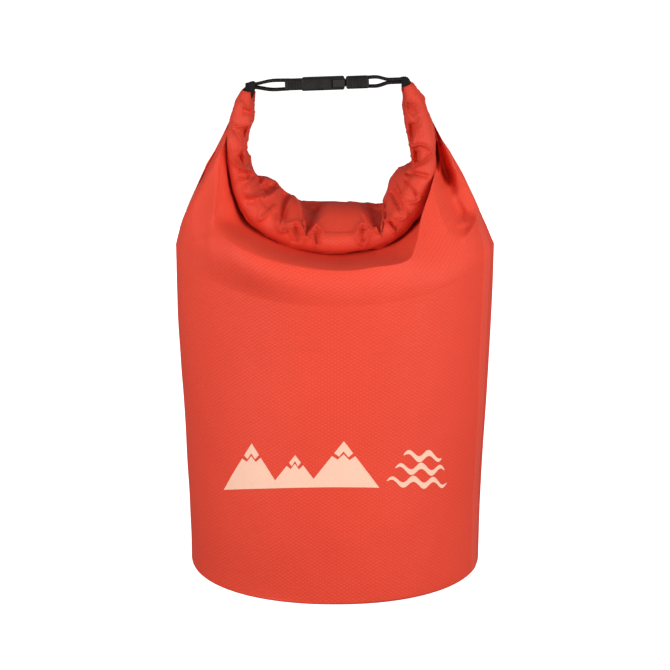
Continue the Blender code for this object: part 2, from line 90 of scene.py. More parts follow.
# Half the width and depth at the shoulders, and the foot's radius, in millimetres. The
# cloth swells a little past the plain tube.
SHOULDER_X = (TUBE_HIGH.x - TUBE_LOW.x) / 2 / MM + 0.9
BASE_RADIUS = (TUBE_HIGH.y - TUBE_LOW.y) / 2 / MM + 0.6
SHOULDER_Y = 0.965 * BASE_RADIUS
BASE_SQUARE = 0.13  # how far the filled bag's base is from round: 0 is a circle
FOOT_DEEPER = 1.0  # how much deeper than wide the base is, front and back, in millimetres
FOOT_RADIUS, FOOT_ROWS = 2.0, 8  # the rounding between base and wall, in millimetres
# The ring where the tube starts to close, in millimetres: its height, how much higher it is
# at the sides, and how much lower in front.
RING_HEIGHT, RING_SIDES, RING_FRONT = 203, 20, 2
BASE_LOW, BASE_HIGH = (Vector(corner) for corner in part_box("base_panel"))
# Where the wall's turned-in foot meets the base panel's edge, in millimetres.
WELD_RADIUS = (BASE_HIGH.x - BASE_LOW.x) / 2 / MM - 0.2
WELD_HEIGHT = 0.5


# -------- small maths


def smooth(low, high, value):
    t = np.clip((value - low) / (high - low), 0.0, 1.0)
    return t * t * (3 - 2 * t)


def bump(value, centre, width):
    return np.exp(-(((value - centre) / width) ** 2))


def along(stations, at):
    """Values on a smooth curve through stations; `at` runs from 0 to 1 over them."""
    values = np.array(stations, float)
    last = len(values) - 1
    u = np.clip(np.asarray(at, float) * last, 0, last - 1e-9)
    i = u.astype(int)
    t = u - i
    if values.ndim > 1:
        t = t[..., None]
    a = values[np.maximum(i - 1, 0)]
    b, c = values[i], values[i + 1]
    d = values[np.minimum(i + 2, last)]
    return 0.5 * (
        2 * b + (c - a) * t + (2 * a - 5 * b + 4 * c - d) * t**2 + (3 * b - a - 3 * c + d) * t**3
    )


def rows_between(start, end, leave, arrive, count):
    """Evenly spaced rows of points on cubic curves, from just after the start to the end.

    The curves leave and arrive along the given vectors.
    """
    return [
        (2 * t**3 - 3 * t**2 + 1) * start
        + (t**3 - 2 * t**2 + t) * leave
        + (3 * t**2 - 2 * t**3) * end
        + (t**3 - t**2) * arrive
        for t in (row / count for row in range(1, count + 1))
    ]


def unit(vectors):
    return vectors / np.maximum(np.linalg.norm(vectors, axis=-1, keepdims=True), 1e-12)


def lengths(line):
    """How far along a line each of its points is."""
    return np.concatenate([[0], np.cumsum(np.linalg.norm(np.diff(line, axis=0), axis=1))])


# -------- the roll's shape
# Stations from the left ear's tip, down, across and up to the right ear's tip.  Each has
# the middle of the roll's rounded front edge, the middle of its rounded back edge, and
# half its thickness, in millimetres from the middle between the two ear pivots.

ROLL = [
    (-56, -13, 63, -54.5, 17, 62, 3.0),
    (-58, -16, 55, -57, 19, 55, 5.3),
    (-59.2, -18, 46, -59, 20, 46, 6.6),
    (-62.4, -19, 35, -62, 20, 35, 6.2),
    (-63, -21, 23, -63.2, 19, 24, 5.2),
    (-61.6, -24, 12, -61.3, 18, 12, 6.0),
    (-58, -29, 0, -57.5, 17, -2, 7.0),
    (-51, -34, -11, -47, 17, -8.5, 7.5),
    (-37, -38, -23, -34.5, 16, -16.5, 7.5),
    (-18, -40.5, -30, -17.5, 15, -23.2, 7.3),
    (3, -41, -32.5, 3, 15, -23.6, 7.3),
    (23, -40.5, -30.5, 23.5, 15, -24.6, 7.3),
    (39, -37.5, -25, 42.5, 16, -22.5, 7.5),
    (50.5, -33, -12.5, 49.5, 17, -11.5, 8.0),
    (57, -28, 0, 53.5, 17, -0.5, 8.2),
    (62, -24, 11, 62, 17, 10, 6.8),
    (62, -21, 23, 63, 19, 24, 7.2),
    (60.5, -19, 35.5, 61.3, 20, 36, 7.8),
    (57.8, -18, 47, 57.8, 20, 47, 7.2),
    (55.6, -16, 57.5, 55, 19, 57, 5.3),
    (51.3, -13, 67, 50.5, 17, 66, 3.0),
]
LAST_STATION = len(ROLL) - 1
PANEL_FROM, PANEL_TO = 2 / LAST_STATION, (LAST_STATION - 2) / LAST_STATION

# Where the back panel turns over the roll, as a place round the roll's section: 0 to 1 is
# the front edge, 1 to 2 the top face, 2 to 3 the back edge and 3 to 4 the bottom face.
TURN_OVER = [
    3.5, 3.5, 3.5, 3.0, 2.75, 2.7, 2.55, 2.3, 2.12, 2.06, 2.05,
    2.06, 2.12, 2.3, 2.55, 2.7, 2.75, 3.0, 3.5, 3.5, 3.5,
]

# The crease where the front panel turns in under the roll, station for station.
CREASE = [
    (-57, -2, 60), (-61, -4, 52), (-66.5, -6, 43), (-70, -21, 32), (-72, -30, 20),
    (-73, -39, 7), (-74, -51, -7), (-74, -63, -18), (-59, -84, -27), (-33, -92, -35.3),
    (3, -94, -40), (29, -92, -38.1), (49, -85, -35.5), (55, -73, -27.5), (59, -55, -14),
    (65, -40, 0), (69, -29, 12), (70.5, -21, 24), (68, -6, 44), (61, -4, 54), (54, -2, 62),
]
# How softly the crease is turned, from 0 for sharp to 1 for round, station for station.
SOFT = [
    1, 1, 1, 1, 1, 1, 1, 0.9, 0.6, 0.45, 0.35,
    0.25, 0.1, 0.1, 0.2, 0.3, 0.5, 0.8, 1, 1, 1,
]
# How far the panel stays below the roll where it slips under its front edge.
POCKET = [
    0.6, 0.6, 0.6, 0.7, 0.9, 1.2, 1.6, 5.0, 1.3, 0.8, 0.8,
    0.9, 1.6, 4.0, 1.8, 3.0, 4.0, 1.2, 0.6, 0.6, 0.6,
]

# How far the roll's top face swells between its two edges, station for station.
CROWN = [
    0, 0, 0.3, 0.4, 0.3, 1, 4.2, 7.4, 7.6, 7.2, 7.6,
    7.2, 6.4, 6.5, 6.0, 0.5, 0.5, 0.6, 0.3, 0, 0,
]

# How far back under the roll the pocket's floor and the front panel's end lie, as shares
# of the roll's width.
POCKET_FLOOR, PANEL_END = 0.35, 0.6
# How far the shoulders lean outwards as they leave the tube at the middle of a panel, how
# much less they do at its left and right edges, and how wide those edges are.
LEAN, LEFT_LEAN, RIGHT_LEAN, LEAN_EDGE = 0.12, 0.35, 0.57, 0.12

ROLL_COLUMNS, ROLL_ROWS = 560, 190
EAR_SPLIT = 257.0  # height of the cut between the body's fabric and the ears', in millimetres
CORE_SPLIT = 256.0  # height where the rolled-up webbing passes from the body to the ears
# The hem at each end of the roll: how far its section shrinks, and how far out it stands.
HEM = [(0.97, 0.7), (0.9, 0.9), (0.82, 0.6), (0.8, -1.5), (0.8, -6.0)]

RED_DARK = (0.70, 0.048, 0.024)
RED_LIGHT = (0.87, 0.075, 0.037)
# The welded tape's paler red: partly its own colour, partly painted sheen.
RED_TAPE_AND_SHEEN = (0.84, 0.088, 0.052)
BASE_RED_DARK = (0.42, 0.028, 0.018)
PEACH, PEACH_DARK = (0.98, 0.59, 0.43), (0.93, 0.51, 0.36)
BLACK = (0.014, 0.0122, 0.0115)
BLACK_DARK, BLACK_LIGHT = (0.008, 0.007, 0.0065), (0.023, 0.0205, 0.019)
MILKY, MILKY_DARK = (0.62, 0.62, 0.58), (0.52, 0.52, 0.48)
CELL_WIDTH, CELL_HEIGHT = 4.2, 2.5  # the weave's diamonds, in millimetres
# The welded side seam, as shares of the front's width: its middle low down, how far it
# runs outwards by the ear, and half its width.
SEAM_AT, SEAM_RISE, SEAM_HALF = 0.888, 0.08, 0.02
SHORT_SEAM_AT, SHORT_SEAM_HALF = 0.045, 0.012  # the same for the short one by the left ear
SEAM_EDGE = 0.004  # how wide the step at a tape's edge is
SEAM_THICKNESS = 0.3  # how far a tape stands out, in millimetres

# The print, in millimetres: its foot's height on the bag's middle, how far that drops at
# the print's ends, and half its width.
PRINT_FOOT, PRINT_ARCH, PRINT_HALF = 81.0, 10.5, 82.0
PRINT_STAND = 0.13 * MM  # how far it stands on the cloth
PRINT_EASE = 2.2  # how much further out than the tube's radius the print's width is measured
PRINT_EDGE = 2.4  # its longest edge
# Each peak's left foot, top, right foot, height and snow cap.
PEAKS = [(-81, -58, -37, 31, 10), (-45, -27, -10, 22, 7), (-19, 6, 30, 31, 10)]
SNOW_GAP = 1.9
# Each wave's start, end and level.
WAVES = [(35, 82, 4.5), (41, 80, 13.5), (47, 77, 22.5)]
WAVE_LENGTH, WAVE_SWING, WAVE_THICKNESS = 15.5, 2.3, 4.2

STRAP_HALF_WIDTH, STRAP_THICKNESS = 12.5, 1.9
STRAP_OVERHANG, STRAP_BELLY, STRAP_GAP = 1.2, 0.9, 0.03
BAR_RADIUS, BAR_PLAY = 1.7, 0.25
STRAP_LEVEL = 67.0  # height of the straps and the buckle in the loop's frame
TACK_HALF_WIDTH, TACK_STEP, TACK_NEAR, TACK_FAR, THREAD_RADIUS = 9.5, 0.5, 3.4, 0.6, 0.22
TURN_X, TURN_Y = 0.15, 0.1  # half the length of thread that lies over each turn of the zigzag
# The folded webbing at each ear's tip: its outline in x and z, from LOOP_ORIGIN.
TIPS = {
    "left": [
        (-58.2, 62), (-56, 65.6), (-53.4, 67.6), (-50.6, 67.4), (-50, 65), (-51, 61), (-52.6, 57.5),
    ],
    "right": [
        (47, 69.6), (49.6, 71), (52.6, 69.6), (54.2, 66.6), (52.4, 64), (49.6, 60.2), (48, 64.5),
    ],
}
TIP_HALF_WIDTH = 11.5
GRIP_RIBS, GRIP_RIB_WIDTH, GRIP_PROUD = 5, 1.0, 0.5
# Each buckle half's grip ribs: its body, where they start and end along the buckle, their
# height, and how far from the middle its long edges are.
GRIPS = [
    ("female", "buckle_female_half", -27.0, -17.4, 4.6, 16.0),
    ("male", "buckle_male_half", 13.6, 24.6, 5.6, 16.5),
]

AMBIENT = 0.17
FLOOR_GLOW = 1.0
LAMP_AIM = Vector((0, 0, 0.18))
# Each lamp's name, place, size and power.
LAMPS = [
    ("right", (1.16, -0.31, 0.5), 0.7, 3.8),
    ("left", (-1.16, -0.31, 0.5), 0.7, 3.0),
    ("front_right", (0.72, -0.72, 0.45), 0.6, 6.0),
    ("front_left", (-0.72, -0.72, 0.45), 0.6, 5.6),
    ("front", (0.0, -1.1, 0.45), 0.7, 2.3),
    ("back", (0.0, 1.3, 0.1), 0.9, 7.0),
    ("top", (0.0, -0.15, 1.3), 0.8, 0.8),
]
PANEL_COLUMNS = 280
BODY_ROWS, SHOULDER_ROWS, STRIP_ROWS, TUCK_ROWS = 76, 60, 26, 10
# The fabric's unevenness: each layer's height and size in millimetres, and its seed.
ROLL_LUMPS, ROLL_CREASES = [(0.55, 26, 3), (0.3, 11, 4)], [(1.3, 34, 5), (0.7, 17, 6)]
PANEL_SWELLS = [(0.6, 90, 11), (0.12, 24, 12)]
GATHER_RIPPLES, GATHER_CREASES = [(0.5, 13, 13)], [(1.2, 24, 14)]
RIPPLE_WAVES = 9  # how many waves a ripple is made of
FOLD_DEPTH = 3.0  # what the heights in ROLL_FOLDS are multiplied by
FOLD_STEPS = 6  # rounds that settle the roll's folds where the front view has them
PINCH_DEPTH = 8.0  # how far a pinch sinks the roll's top, in millimetres


def roll_frame(at):
    """Front edge, back edge, upward direction and half thickness at places along the roll."""
    values = along(ROLL, at)
    front, back = values[:, :3], values[:, 3:6]
    step = 1e-3
    ahead, behind = along(ROLL, np.clip(at + step, 0, 1)), along(ROLL, np.clip(at - step, 0, 1))
    tangent = unit(ahead[:, :3] + ahead[:, 3:6] - behind[:, :3] - behind[:, 3:6])
    up = unit(np.cross(tangent, unit(back - front)))
    return front, back, up, values[:, 6]


def roll_section(at, around):
    """Points on the roll's skin before any fold, and their normals.

    around counts round the section as TURN_OVER does.
    """
    front, back, up, half = roll_frame(at)
    w = np.mod(around, 4.0)
    turn = np.interp(w, range(5), np.radians([-90, 90, 90, 270, 270]))[:, None]
    share = np.interp(w, range(5), [0, 0, 1, 1, 0])
    on_top = np.where(w <= 3, share, 0)
    swell = along(CROWN, at) * 4 * on_top * (1 - on_top)
    normal = unit(front - back) * np.cos(turn) + up * np.sin(turn)
    centre = front + (back - front) * share[:, None]
    return centre + normal * half[:, None] + up * swell[:, None], normal


# -------- folds of the fabric
# Each fold is drawn as it lies in the front view, in millimetres to the right of and above
# the middle between the ear pivots: its height (below zero for a valley), its width on the
# left and on the right of the line, and the line's points.

ROLL_FOLDS = [
    # left arm, from its tip down
    (0.8, 1.2, 2.4, [(-61, 56), (-58, 52), (-53, 50), (-50, 51)]),
    (-0.9, 2.5, 2.5, [(-60, 49), (-55, 48), (-51, 47)]),
    (1.2, 1.6, 1.6, [(-66, 42), (-66, 37), (-62, 31), (-60, 25), (-59, 20)]),
    (0.9, 1.5, 1.5, [(-66, 38), (-61, 38), (-56, 39), (-52, 41)]),
    (-2.0, 3.4, 3.4, [(-58, 37), (-55, 31), (-56, 22)]),
    (1.6, 1.7, 1.7, [(-69, 28), (-68, 22), (-67, 16), (-62, 11), (-57, 9), (-53, 7), (-50, 4)]),
    (-2.0, 3.0, 3.0, [(-63, 19), (-59, 15), (-55, 12)]),
    (-0.9, 2.4, 2.4, [(-64, 6), (-58, 5), (-55, 4)]),
    (0.6, 1.4, 1.4, [(-66, 0), (-59, 1), (-53, 3)]),
    (1.3, 1.4, 1.4, [(-59, -6), (-56, -1), (-52, 2), (-50, 4)]),
    # left lobe
    (1.5, 1.4, 1.4, [(-59, -6), (-56, -9), (-50, -9), (-44, -9), (-39, -7), (-33, -2)]),
    (-1.5, 2.8, 3.2, [(-50, 3), (-48, -1), (-46, -5)]),
    (-2.4, 3.2, 3.8, [(-46, -6), (-42, -3), (-37, 1)]),
    (-0.5, 2.4, 2.4, [(-58, -12), (-50, -13)]),
    (1.3, 1.7, 1.7, [(-49, -26), (-44, -22), (-39, -17), (-36, -15)]),
    (0.6, 1.5, 1.5, [(-49, -10), (-48, -18), (-49, -26)]),
    (1.3, 1.4, 1.4, [(-35, -15), (-36, -23), (-36, -29), (-33, -33), (-28, -32), (-26, -38)]),
    (-2.1, 3.2, 3.0, [(-30, -5), (-32, -14), (-34, -26)]),
    (0.6, 1.2, 1.2, [(-27, -10), (-31, -19), (-34, -30)]),
    (1.1, 1.4, 1.4, [(-28, -27), (-24, -26), (-21, -27), (-19, -32), (-18, -36)]),
    (-1.0, 2.2, 2.2, [(-23, -29), (-23, -35), (-24, -41)]),
    (1.2, 1.4, 1.4, [(-23, -12), (-20, -19), (-19, -27), (-18, -35)]),
    # the middle's left end
    (0.9, 1.2, 1.2, [(-17, -40), (-16, -37), (-13, -36), (-11, -40), (-9, -44)]),
    (1.0, 1.3, 1.3, [(-12, -30), (-9, -28), (-6, -32), (-7, -38), (-8, -43)]),
    (-0.8, 1.8, 1.8, [(-10, -32), (-10, -38), (-9, -42)]),
    # the middle's right end
    (1.0, 1.3, 1.3, [(21, -18), (25, -26), (29, -31), (34, -35)]),
    (1.0, 1.2, 1.2, [(24, -27), (27, -33), (25, -38), (24, -43)]),
    (0.9, 1.2, 1.2, [(24, -27), (20, -28), (17, -34), (19, -40), (22, -42)]),
    (-0.8, 1.8, 1.8, [(22, -30), (21, -35), (22, -40)]),
    # right lobe
    (1.0, 1.3, 1.3, [(31, -27), (36, -25), (40, -23), (42, -25), (46, -33)]),
    (0.9, 1.2, 1.2, [(37, -26), (41, -30), (44, -34)]),
    (-1.1, 1.2, 1.2, [(40, -26), (42, -29), (45, -32)]),
    (0.8, 1.2, 1.2, [(51, -24), (47, -25), (44, -25)]),
    (1.1, 1.4, 1.4, [(43, 1), (46, -6), (49, -13), (51, -20), (51, -24)]),
    (-1.2, 2.4, 2.4, [(41, -4), (45, -12), (48, -19)]),
    (1.2, 1.4, 1.4, [(50, 5), (54, 0), (59, -7), (60, -11), (57, -13), (51, -14)]),
    (-1.2, 1.6, 1.6, [(50, 3), (55, -2), (59, -9)]),
    (-1.0, 1.4, 1.4, [(50, 6), (58, 6), (67, 4)]),
    # right arm, up to its tip
    (1.5, 1.5, 1.5, [(68, 22), (68, 19), (64, 15), (58, 12), (54, 12)]),
    (-2.8, 2.5, 2.5, [(57, 22), (57, 17), (57, 14)]),
    (1.1, 1.4, 1.4, [(54, 23), (59, 26), (64, 25), (68, 22)]),
    (-1.8, 3.0, 3.0, [(55, 41), (55, 33), (53, 26)]),
    (1.3, 1.5, 1.5, [(59, 45), (60, 41), (58, 36), (56, 28), (54, 22)]),
    (-0.9, 2.3, 2.3, [(51, 54), (54, 49), (57, 45)]),
    (0.9, 1.4, 1.4, [(50, 57), (52, 55), (56, 53), (59, 50), (60, 45)]),
]

PANEL_FOLDS = [
    # the pocket beside the right ear and the ridge outside it
    (-26.0, 4.0, 4.4, [(68, 38), (70, 30), (72, 22), (75, 13), (78, 5), (81, -3)]),
    (-10.0, 5.0, 6.5, [(75, 13), (78, 3), (82, -7), (86, -18), (90, -28)]),
    (
        8.5, 3.5, 3.6,
        [(67, 40), (75, 28), (82, 12), (88, 1), (94, -12), (97, -21), (96, -30), (91, -37)],
    ),
    (-1.6, 3.4, 3.0, [(93, -29), (87, -31), (79, -27)]),
    (1.2, 5.0, 5.0, [(68, 4), (70, -8), (74, -22), (79, -34)]),
    # the ridge beside the left ear, which runs on into the crease, and the dip outside it
    (3.4, 4.0, 5.0, [(-72, 40), (-74, 22), (-75, 6), (-77, -12), (-77, -26), (-71, -33)]),
    (-3.6, 6.0, 6.0, [(-85, 10), (-86, -6), (-88, -24), (-84, -38)]),
]

# A pinch is a deep pleat of the roll's top: its steep and its gentle bank, each from the
# ridge down to the pinch's tip.
PINCHES = [
    (
        [(-23, -11), (-20, -19), (-19, -27), (-17, -36)],
        [(3, -11), (-5, -22), (-12, -29), (-17, -36)],
    ),
    (
        [(39, -10), (38, -19), (37, -25), (34, -36)],
        [(16, -11), (21, -19), (28, -30), (34, -36)],
    ),
]


def front_view(points):
    """Where world points, in millimetres, lie in the front view, from LOOP_ORIGIN."""
    middle = LOOP_AT - EYE_AT
    ray = points - EYE_AT
    scale = (middle @ EYE_AHEAD) / (ray @ EYE_AHEAD)
    return ray[..., 0] * scale - middle[0], (ray @ EYE_UP) * scale - middle @ EYE_UP


def fold_height(u, v, folds):
    """The height that the folds add at places in the front view."""
    height = np.zeros_like(u)
    for rise, left, right, corners in folds:
        line = along(corners, np.linspace(0, 1, 7 * len(corners)))
        reach = 2.6 * max(left, right)  # further away a fold adds next to nothing
        near = (u > line[:, 0].min() - reach) & (u < line[:, 0].max() + reach)
        near &= (v > line[:, 1].min() - reach) & (v < line[:, 1].max() + reach)
        if not near.any():
            continue
        step = np.diff(line, axis=0)
        offset = np.stack([u[near], v[near]], axis=-1)[:, None] - line[:-1]
        t = np.clip(np.sum(offset * step, axis=2) / np.sum(step**2, axis=1), 0, 1)
        gap = np.linalg.norm(offset - t[..., None] * step, axis=2)
        # Each place takes the line's nearest piece.
        nearest = gap.argmin(axis=1)
        pick = np.arange(len(gap)), nearest
        side = (step[:, 0] * offset[..., 1] - step[:, 1] * offset[..., 0])[pick]
        share = (nearest + t[pick]) / len(step)
        fade = 0.25 + 0.75 * smooth(0, 0.2, share) * smooth(1, 0.8, share)
        away = gap[pick] / np.where(side > 0, left, right)
        # A ridge is crisp, with a slightly rounded top, and a valley is soft.
        crisp = np.exp(-1.6 * (np.sqrt(away**2 + 0.03) - 0.17))
        height[near] += rise * fade * (crisp if rise > 0 else np.exp(-(away**2)))
    return height


def pinch_depth(u, v):
    """How far the pinches sink the roll's top at places in the front view."""
    depth = np.zeros_like(u)
    for banks in PINCHES:
        steep, gentle = (np.array(bank[::-1], float) for bank in banks)
        start, end = (np.interp(v, bank[:, 1], bank[:, 0]) for bank in (steep, gentle))
        narrowest = 1.5 * np.sign(gentle[-1, 0] - steep[-1, 0])
        width = np.where(np.abs(end - start) < abs(narrowest), narrowest, end - start)
        share = (u - start) / width
        tip, ridge = steep[0, 1], steep[-1, 1]
        across = smooth(-0.06, 0.12, share) * smooth(1.06, 0.55, share)
        up = smooth(tip - 1.5, tip + 6, v) * (1 - 0.8 * smooth(ridge - 11, ridge + 1, v))
        depth += PINCH_DEPTH * across * up
    return depth


def ripple(points, size, seed):
    """Smooth noise, about -1 to 1, with features of about that size in millimetres."""
    chance = random.Random(seed)
    total = 0.0
    for _ in range(RIPPLE_WAVES):
        heading = np.array([chance.gauss(0, 1) for _ in range(3)])
        heading /= np.linalg.norm(heading)
        turn = 2 * math.pi / (size * chance.uniform(0.8, 1.7))
        total = total + np.sin(points @ heading * turn + chance.uniform(0, 2 * math.pi))
    return total / (1.1 * math.sqrt(RIPPLE_WAVES))


def crinkle(points, size, seed):
    """Thin raised creases, 0 to 1, that wander and meet like those of folded cloth."""
    return (1 - np.minimum(np.abs(ripple(points, size, seed)), 1)) ** 5


def layered(kind, points, layers):
    """Ripples or crinkles of several sizes, added up."""
    return sum(height * kind(points, size, seed) for height, size, seed in layers)


def grid_normals(grid, outward):
    across, up = np.gradient(grid, axis=1), np.gradient(grid, axis=0)
    return outward * unit(np.cross(across, up))


# -------- the fabric, as grids


def even_stations(count, low, high):
    """Places along the roll, evenly spaced by length between two of its stations."""
    fine = np.linspace(low, high, 2000)
    front, back, _, _ = roll_frame(fine)
    length = lengths((front + back) / 2)
    return np.interp(np.linspace(0, length[-1], count), length, fine)


def shoulder_ring(angle):
    """The ring of the body where the tube starts to close, highest at its two sides."""
    x, y = np.cos(angle), np.sin(angle)
    height = RING_HEIGHT + RING_SIDES * np.abs(x) ** 2.5 - RING_FRONT * np.maximum(0, -y)
    return np.stack([SHOULDER_X * x, SHOULDER_Y * y, height], axis=-1)


def body_rows(angle):
    """Rows of the tube from under its foot up to the shoulder ring."""
    top = shoulder_ring(angle)[:, 2]
    x, y = np.cos(angle), np.sin(angle)
    rows = [np.stack([WELD_RADIUS * x, WELD_RADIUS * y, np.full_like(x, WELD_HEIGHT)], axis=-1)]
    for row in range(1, BODY_ROWS + 1):
        turn = math.pi / 2 * min(row / FOOT_ROWS, 1)
        climb = max(row - FOOT_ROWS, 0) / (BODY_ROWS - FOOT_ROWS)
        z = FOOT_RADIUS * (1 - math.cos(turn)) + (top - FOOT_RADIUS) * climb
        r = BASE_RADIUS - FOOT_RADIUS * (1 - math.sin(turn))
        flat = smooth(0.0, 1.0, z / top)
        power = 2 + BASE_SQUARE * (1 - flat)
        corner = (np.abs(x) ** power + np.abs(y) ** power) ** (-1 / power)
        wide = (r + (SHOULDER_X - BASE_RADIUS) * flat) * corner
        deep = (r + FOOT_DEEPER * (1 - flat) + (SHOULDER_Y - BASE_RADIUS) * flat) * corner
        rows.append(np.stack([wide * x, deep * y, z], axis=-1))
    return rows


def panel_grids():
    """Front and back panels as rows of points in world millimetres."""
    at = even_stations(PANEL_COLUMNS, PANEL_FROM, PANEL_TO)
    share = np.linspace(0, 1, PANEL_COLUMNS)
    front, back, up, half = roll_frame(at)
    half = half[:, None]
    fold = (smooth(0.0, 0.05, share) * smooth(0.0, 0.05, 1 - share))[:, None]
    over, normal = roll_section(at, along(TURN_OVER, at))
    over = over + LOOP_AT
    turning = np.cross(np.cross(unit(front - back), up), normal)

    # Rows that the front panel passes: its crease, where it slips under the roll's front
    # edge, the pocket's floor, and its end. At the panel's sides they all meet the roll.
    pocket = along(POCKET, at)[:, None]
    slip = front - up * (half + pocket) + LOOP_AT
    deep = front + (back - front) * POCKET_FLOOR - up * (half + 0.8 * pocket) + LOOP_AT
    tuck = front + (back - front) * PANEL_END - up * (half - 0.6) + LOOP_AT
    slip, deep, tuck = (over + (row - over) * fold for row in (slip, deep, tuck))
    crease = over + (along(CREASE, at) + LOOP_AT - over) * np.maximum(fold, 0.12)

    front_rows = body_rows(math.pi + math.pi * share)
    back_rows = body_rows(math.pi - math.pi * share)
    rise, level = np.array([0, 0, 1]), np.array([1, 1, 0])
    lean = LEAN - LEFT_LEAN * bump(share, 0, LEAN_EDGE) - RIGHT_LEAN * bump(share, 1, LEAN_EDGE)
    lean = lean[:, None]

    # The front panel: over the shoulder to its crease, and in under the roll to its end.
    base = front_rows[-1]
    reach = np.linalg.norm(crease - base, axis=1)[:, None]
    inward = unit((slip - crease) * np.array([1, 1, 0.3]))
    leave = (rise + lean * unit(base * level)) * reach
    soft = along(SOFT, at)[:, None] * fold
    heading = unit(crease - base) + (0.25 + 0.9 * soft) * inward * fold
    front_rows += rows_between(base, crease, leave, heading * reach, SHOULDER_ROWS)
    gap = np.linalg.norm(slip - crease, axis=1)[:, None]
    leave = (inward - 0.15 * rise) * (1 - soft) * gap + unit(heading) * soft * gap
    arrive = (unit(deep - slip) - 0.1 * up) * gap
    front_rows += rows_between(crease, slip, leave, arrive, STRIP_ROWS)
    for row in range(1, TUCK_ROWS + 1):
        t = 2 * row / TUCK_ROWS
        front_rows.append(slip + (deep - slip) * min(t, 1) + (tuck - deep) * max(t - 1, 0))

    # The back panel: over the shoulder and onto the roll, its sides joined to the front's.
    base = back_rows[-1]
    reach = np.linalg.norm(over - base, axis=1)[:, None]
    leave = (rise + lean * unit(base * level)) * reach * 0.95
    arrive = -turning * reach * 0.8
    steps = SHOULDER_ROWS + STRIP_ROWS + TUCK_ROWS
    side = np.maximum(smooth(0.05, 0.0, share), smooth(0.95, 1.0, share))[:, None]
    for own, curve in zip(front_rows[-steps:], rows_between(base, over, leave, arrive, steps)):
        drift = np.where(share[:, None] < 0.5, own[0] - curve[0], own[-1] - curve[-1])
        back_rows.append(curve + drift * side)
    return np.stack(front_rows), np.stack(back_rows)


def roll_grid():
    """The roll's skin, and how far round the section each of its points is.

    Its rows run from where the back panel turns over to under the roll's front.
    """
    at = even_stations(ROLL_COLUMNS, 0.0, 1.0)
    start = along(TURN_OVER, at)
    finish = np.maximum(start - 4.0, -0.5)
    around = [start + (finish - start) * row / ROLL_ROWS for row in range(ROLL_ROWS + 1)]
    skin = np.stack([roll_section(at, turn)[0] for turn in around])
    return at, skin + LOOP_AT, np.stack(around)


def sculpt_roll(at, grid, around):
    """The roll's skin with its folds, pinches and lumps pressed into it."""
    normal = grid_normals(grid, -1)
    _, _, up, _ = roll_frame(at)
    edge = np.linspace(0, 1, len(grid))[:, None]
    # The roll's edges and ends stay where its neighbours meet them.
    hold = smooth(0, 0.06, edge) * smooth(1, 0.97, edge)
    hold = hold * smooth(0, 0.02, at) * smooth(1, 0.98, at)
    lumps, creases = layered(ripple, grid, ROLL_LUMPS), layered(crinkle, grid, ROLL_CREASES)
    seen = smooth(0.0, 0.3, facing(grid, normal))
    height = lumps * (1 - 0.6 * seen) + creases * (1 - 0.97 * seen)
    # Pinches sink the top face and most of the rounded edges beside it, and folds rise
    # mostly towards the eye.
    top = (around > 0.4) & (around < 2.6)
    to_eye = unit(normal + 2 * unit(EYE_AT - grid))
    moved = grid
    for _ in range(FOLD_STEPS):
        u, v = front_view(moved)
        folds = FOLD_DEPTH * fold_height(u, v, ROLL_FOLDS) * seen
        sink = pinch_depth(u, v) * top
        moves = normal * height[..., None] + to_eye * folds[..., None] - up * sink[..., None]
        target = grid + moves * hold[..., None]
        moved = (moved + target) / 2
    return target


def sculpt_panel(grid, outward, front):
    """A body panel with its folds and the soft unevenness of a filled bag."""
    normal = grid_normals(grid, outward)
    share = np.linspace(0, 1, grid.shape[1])
    hold = smooth(0, 0.03, share) * smooth(1, 0.97, share)
    rows = np.arange(len(grid))[:, None]
    last = len(grid) - 1
    high = smooth(BODY_ROWS - 22, BODY_ROWS + 14, rows)  # 0 on the tube, 1 on the shoulders
    height = layered(ripple, grid, PANEL_SWELLS) * smooth(2, 10, rows)
    upright = grid * np.array([1.0, 1.0, 0.3])
    gathers = layered(ripple, upright, GATHER_RIPPLES) + layered(crinkle, upright, GATHER_CREASES)
    sides = smooth(0.2, 0.05, share) + smooth(0.8, 0.95, share)
    if front:
        u, v = front_view(grid)
        crease = BODY_ROWS + SHOULDER_ROWS
        outer = smooth(crease + 1, crease - 5, rows)
        under = smooth(last, crease, rows)
        folds = fold_height(u, v, PANEL_FOLDS) * smooth(BODY_ROWS - 30, BODY_ROWS - 10, rows)
        folds = np.where(folds > 0, folds * outer, folds * under)
        folds = folds * smooth(0, 0.008, share) * smooth(1, 0.992, share)
        height = height + SEAM_THICKNESS * seam_tape(grid.shape) * hold
        height = height + 0.12 * gathers * high * outer * sides
    else:
        folds = np.zeros_like(height)
        height = height + (0.9 - 0.65 * sides) * gathers * high * smooth(last, last - 12, rows)
    # A ridge rises towards the eye and a little along its normal, and a valley sinks
    # straight away from the eye.
    lift = np.where(folds > 0, 0.3, 0.0)[..., None]
    to_eye = lift * normal + (1 - lift) * unit(EYE_AT - grid)
    return grid + normal * (height * hold)[..., None] + to_eye * folds[..., None]


def seam_tape(shape):
    """Where a welded seam's tape lies on the front panel: 1 on it, 0 off it.

    The long one is on the right, and a short one comes down from the left ear.
    """
    rows = np.arange(shape[0])[:, None]
    share = np.linspace(0, 1, shape[1])
    shift = SEAM_RISE * smooth(BODY_ROWS - 6, BODY_ROWS + 34, rows)
    long = smooth(SEAM_HALF + SEAM_EDGE, SEAM_HALF, np.abs(share - shift - SEAM_AT))
    short = smooth(SHORT_SEAM_HALF + SEAM_EDGE, SHORT_SEAM_HALF, np.abs(share - SHORT_SEAM_AT))
    short = short * smooth(BODY_ROWS + 12, BODY_ROWS + 24, rows)
    return (long + short) * smooth(3, 9, rows) * smooth(BODY_ROWS + 46, BODY_ROWS + 30, rows)


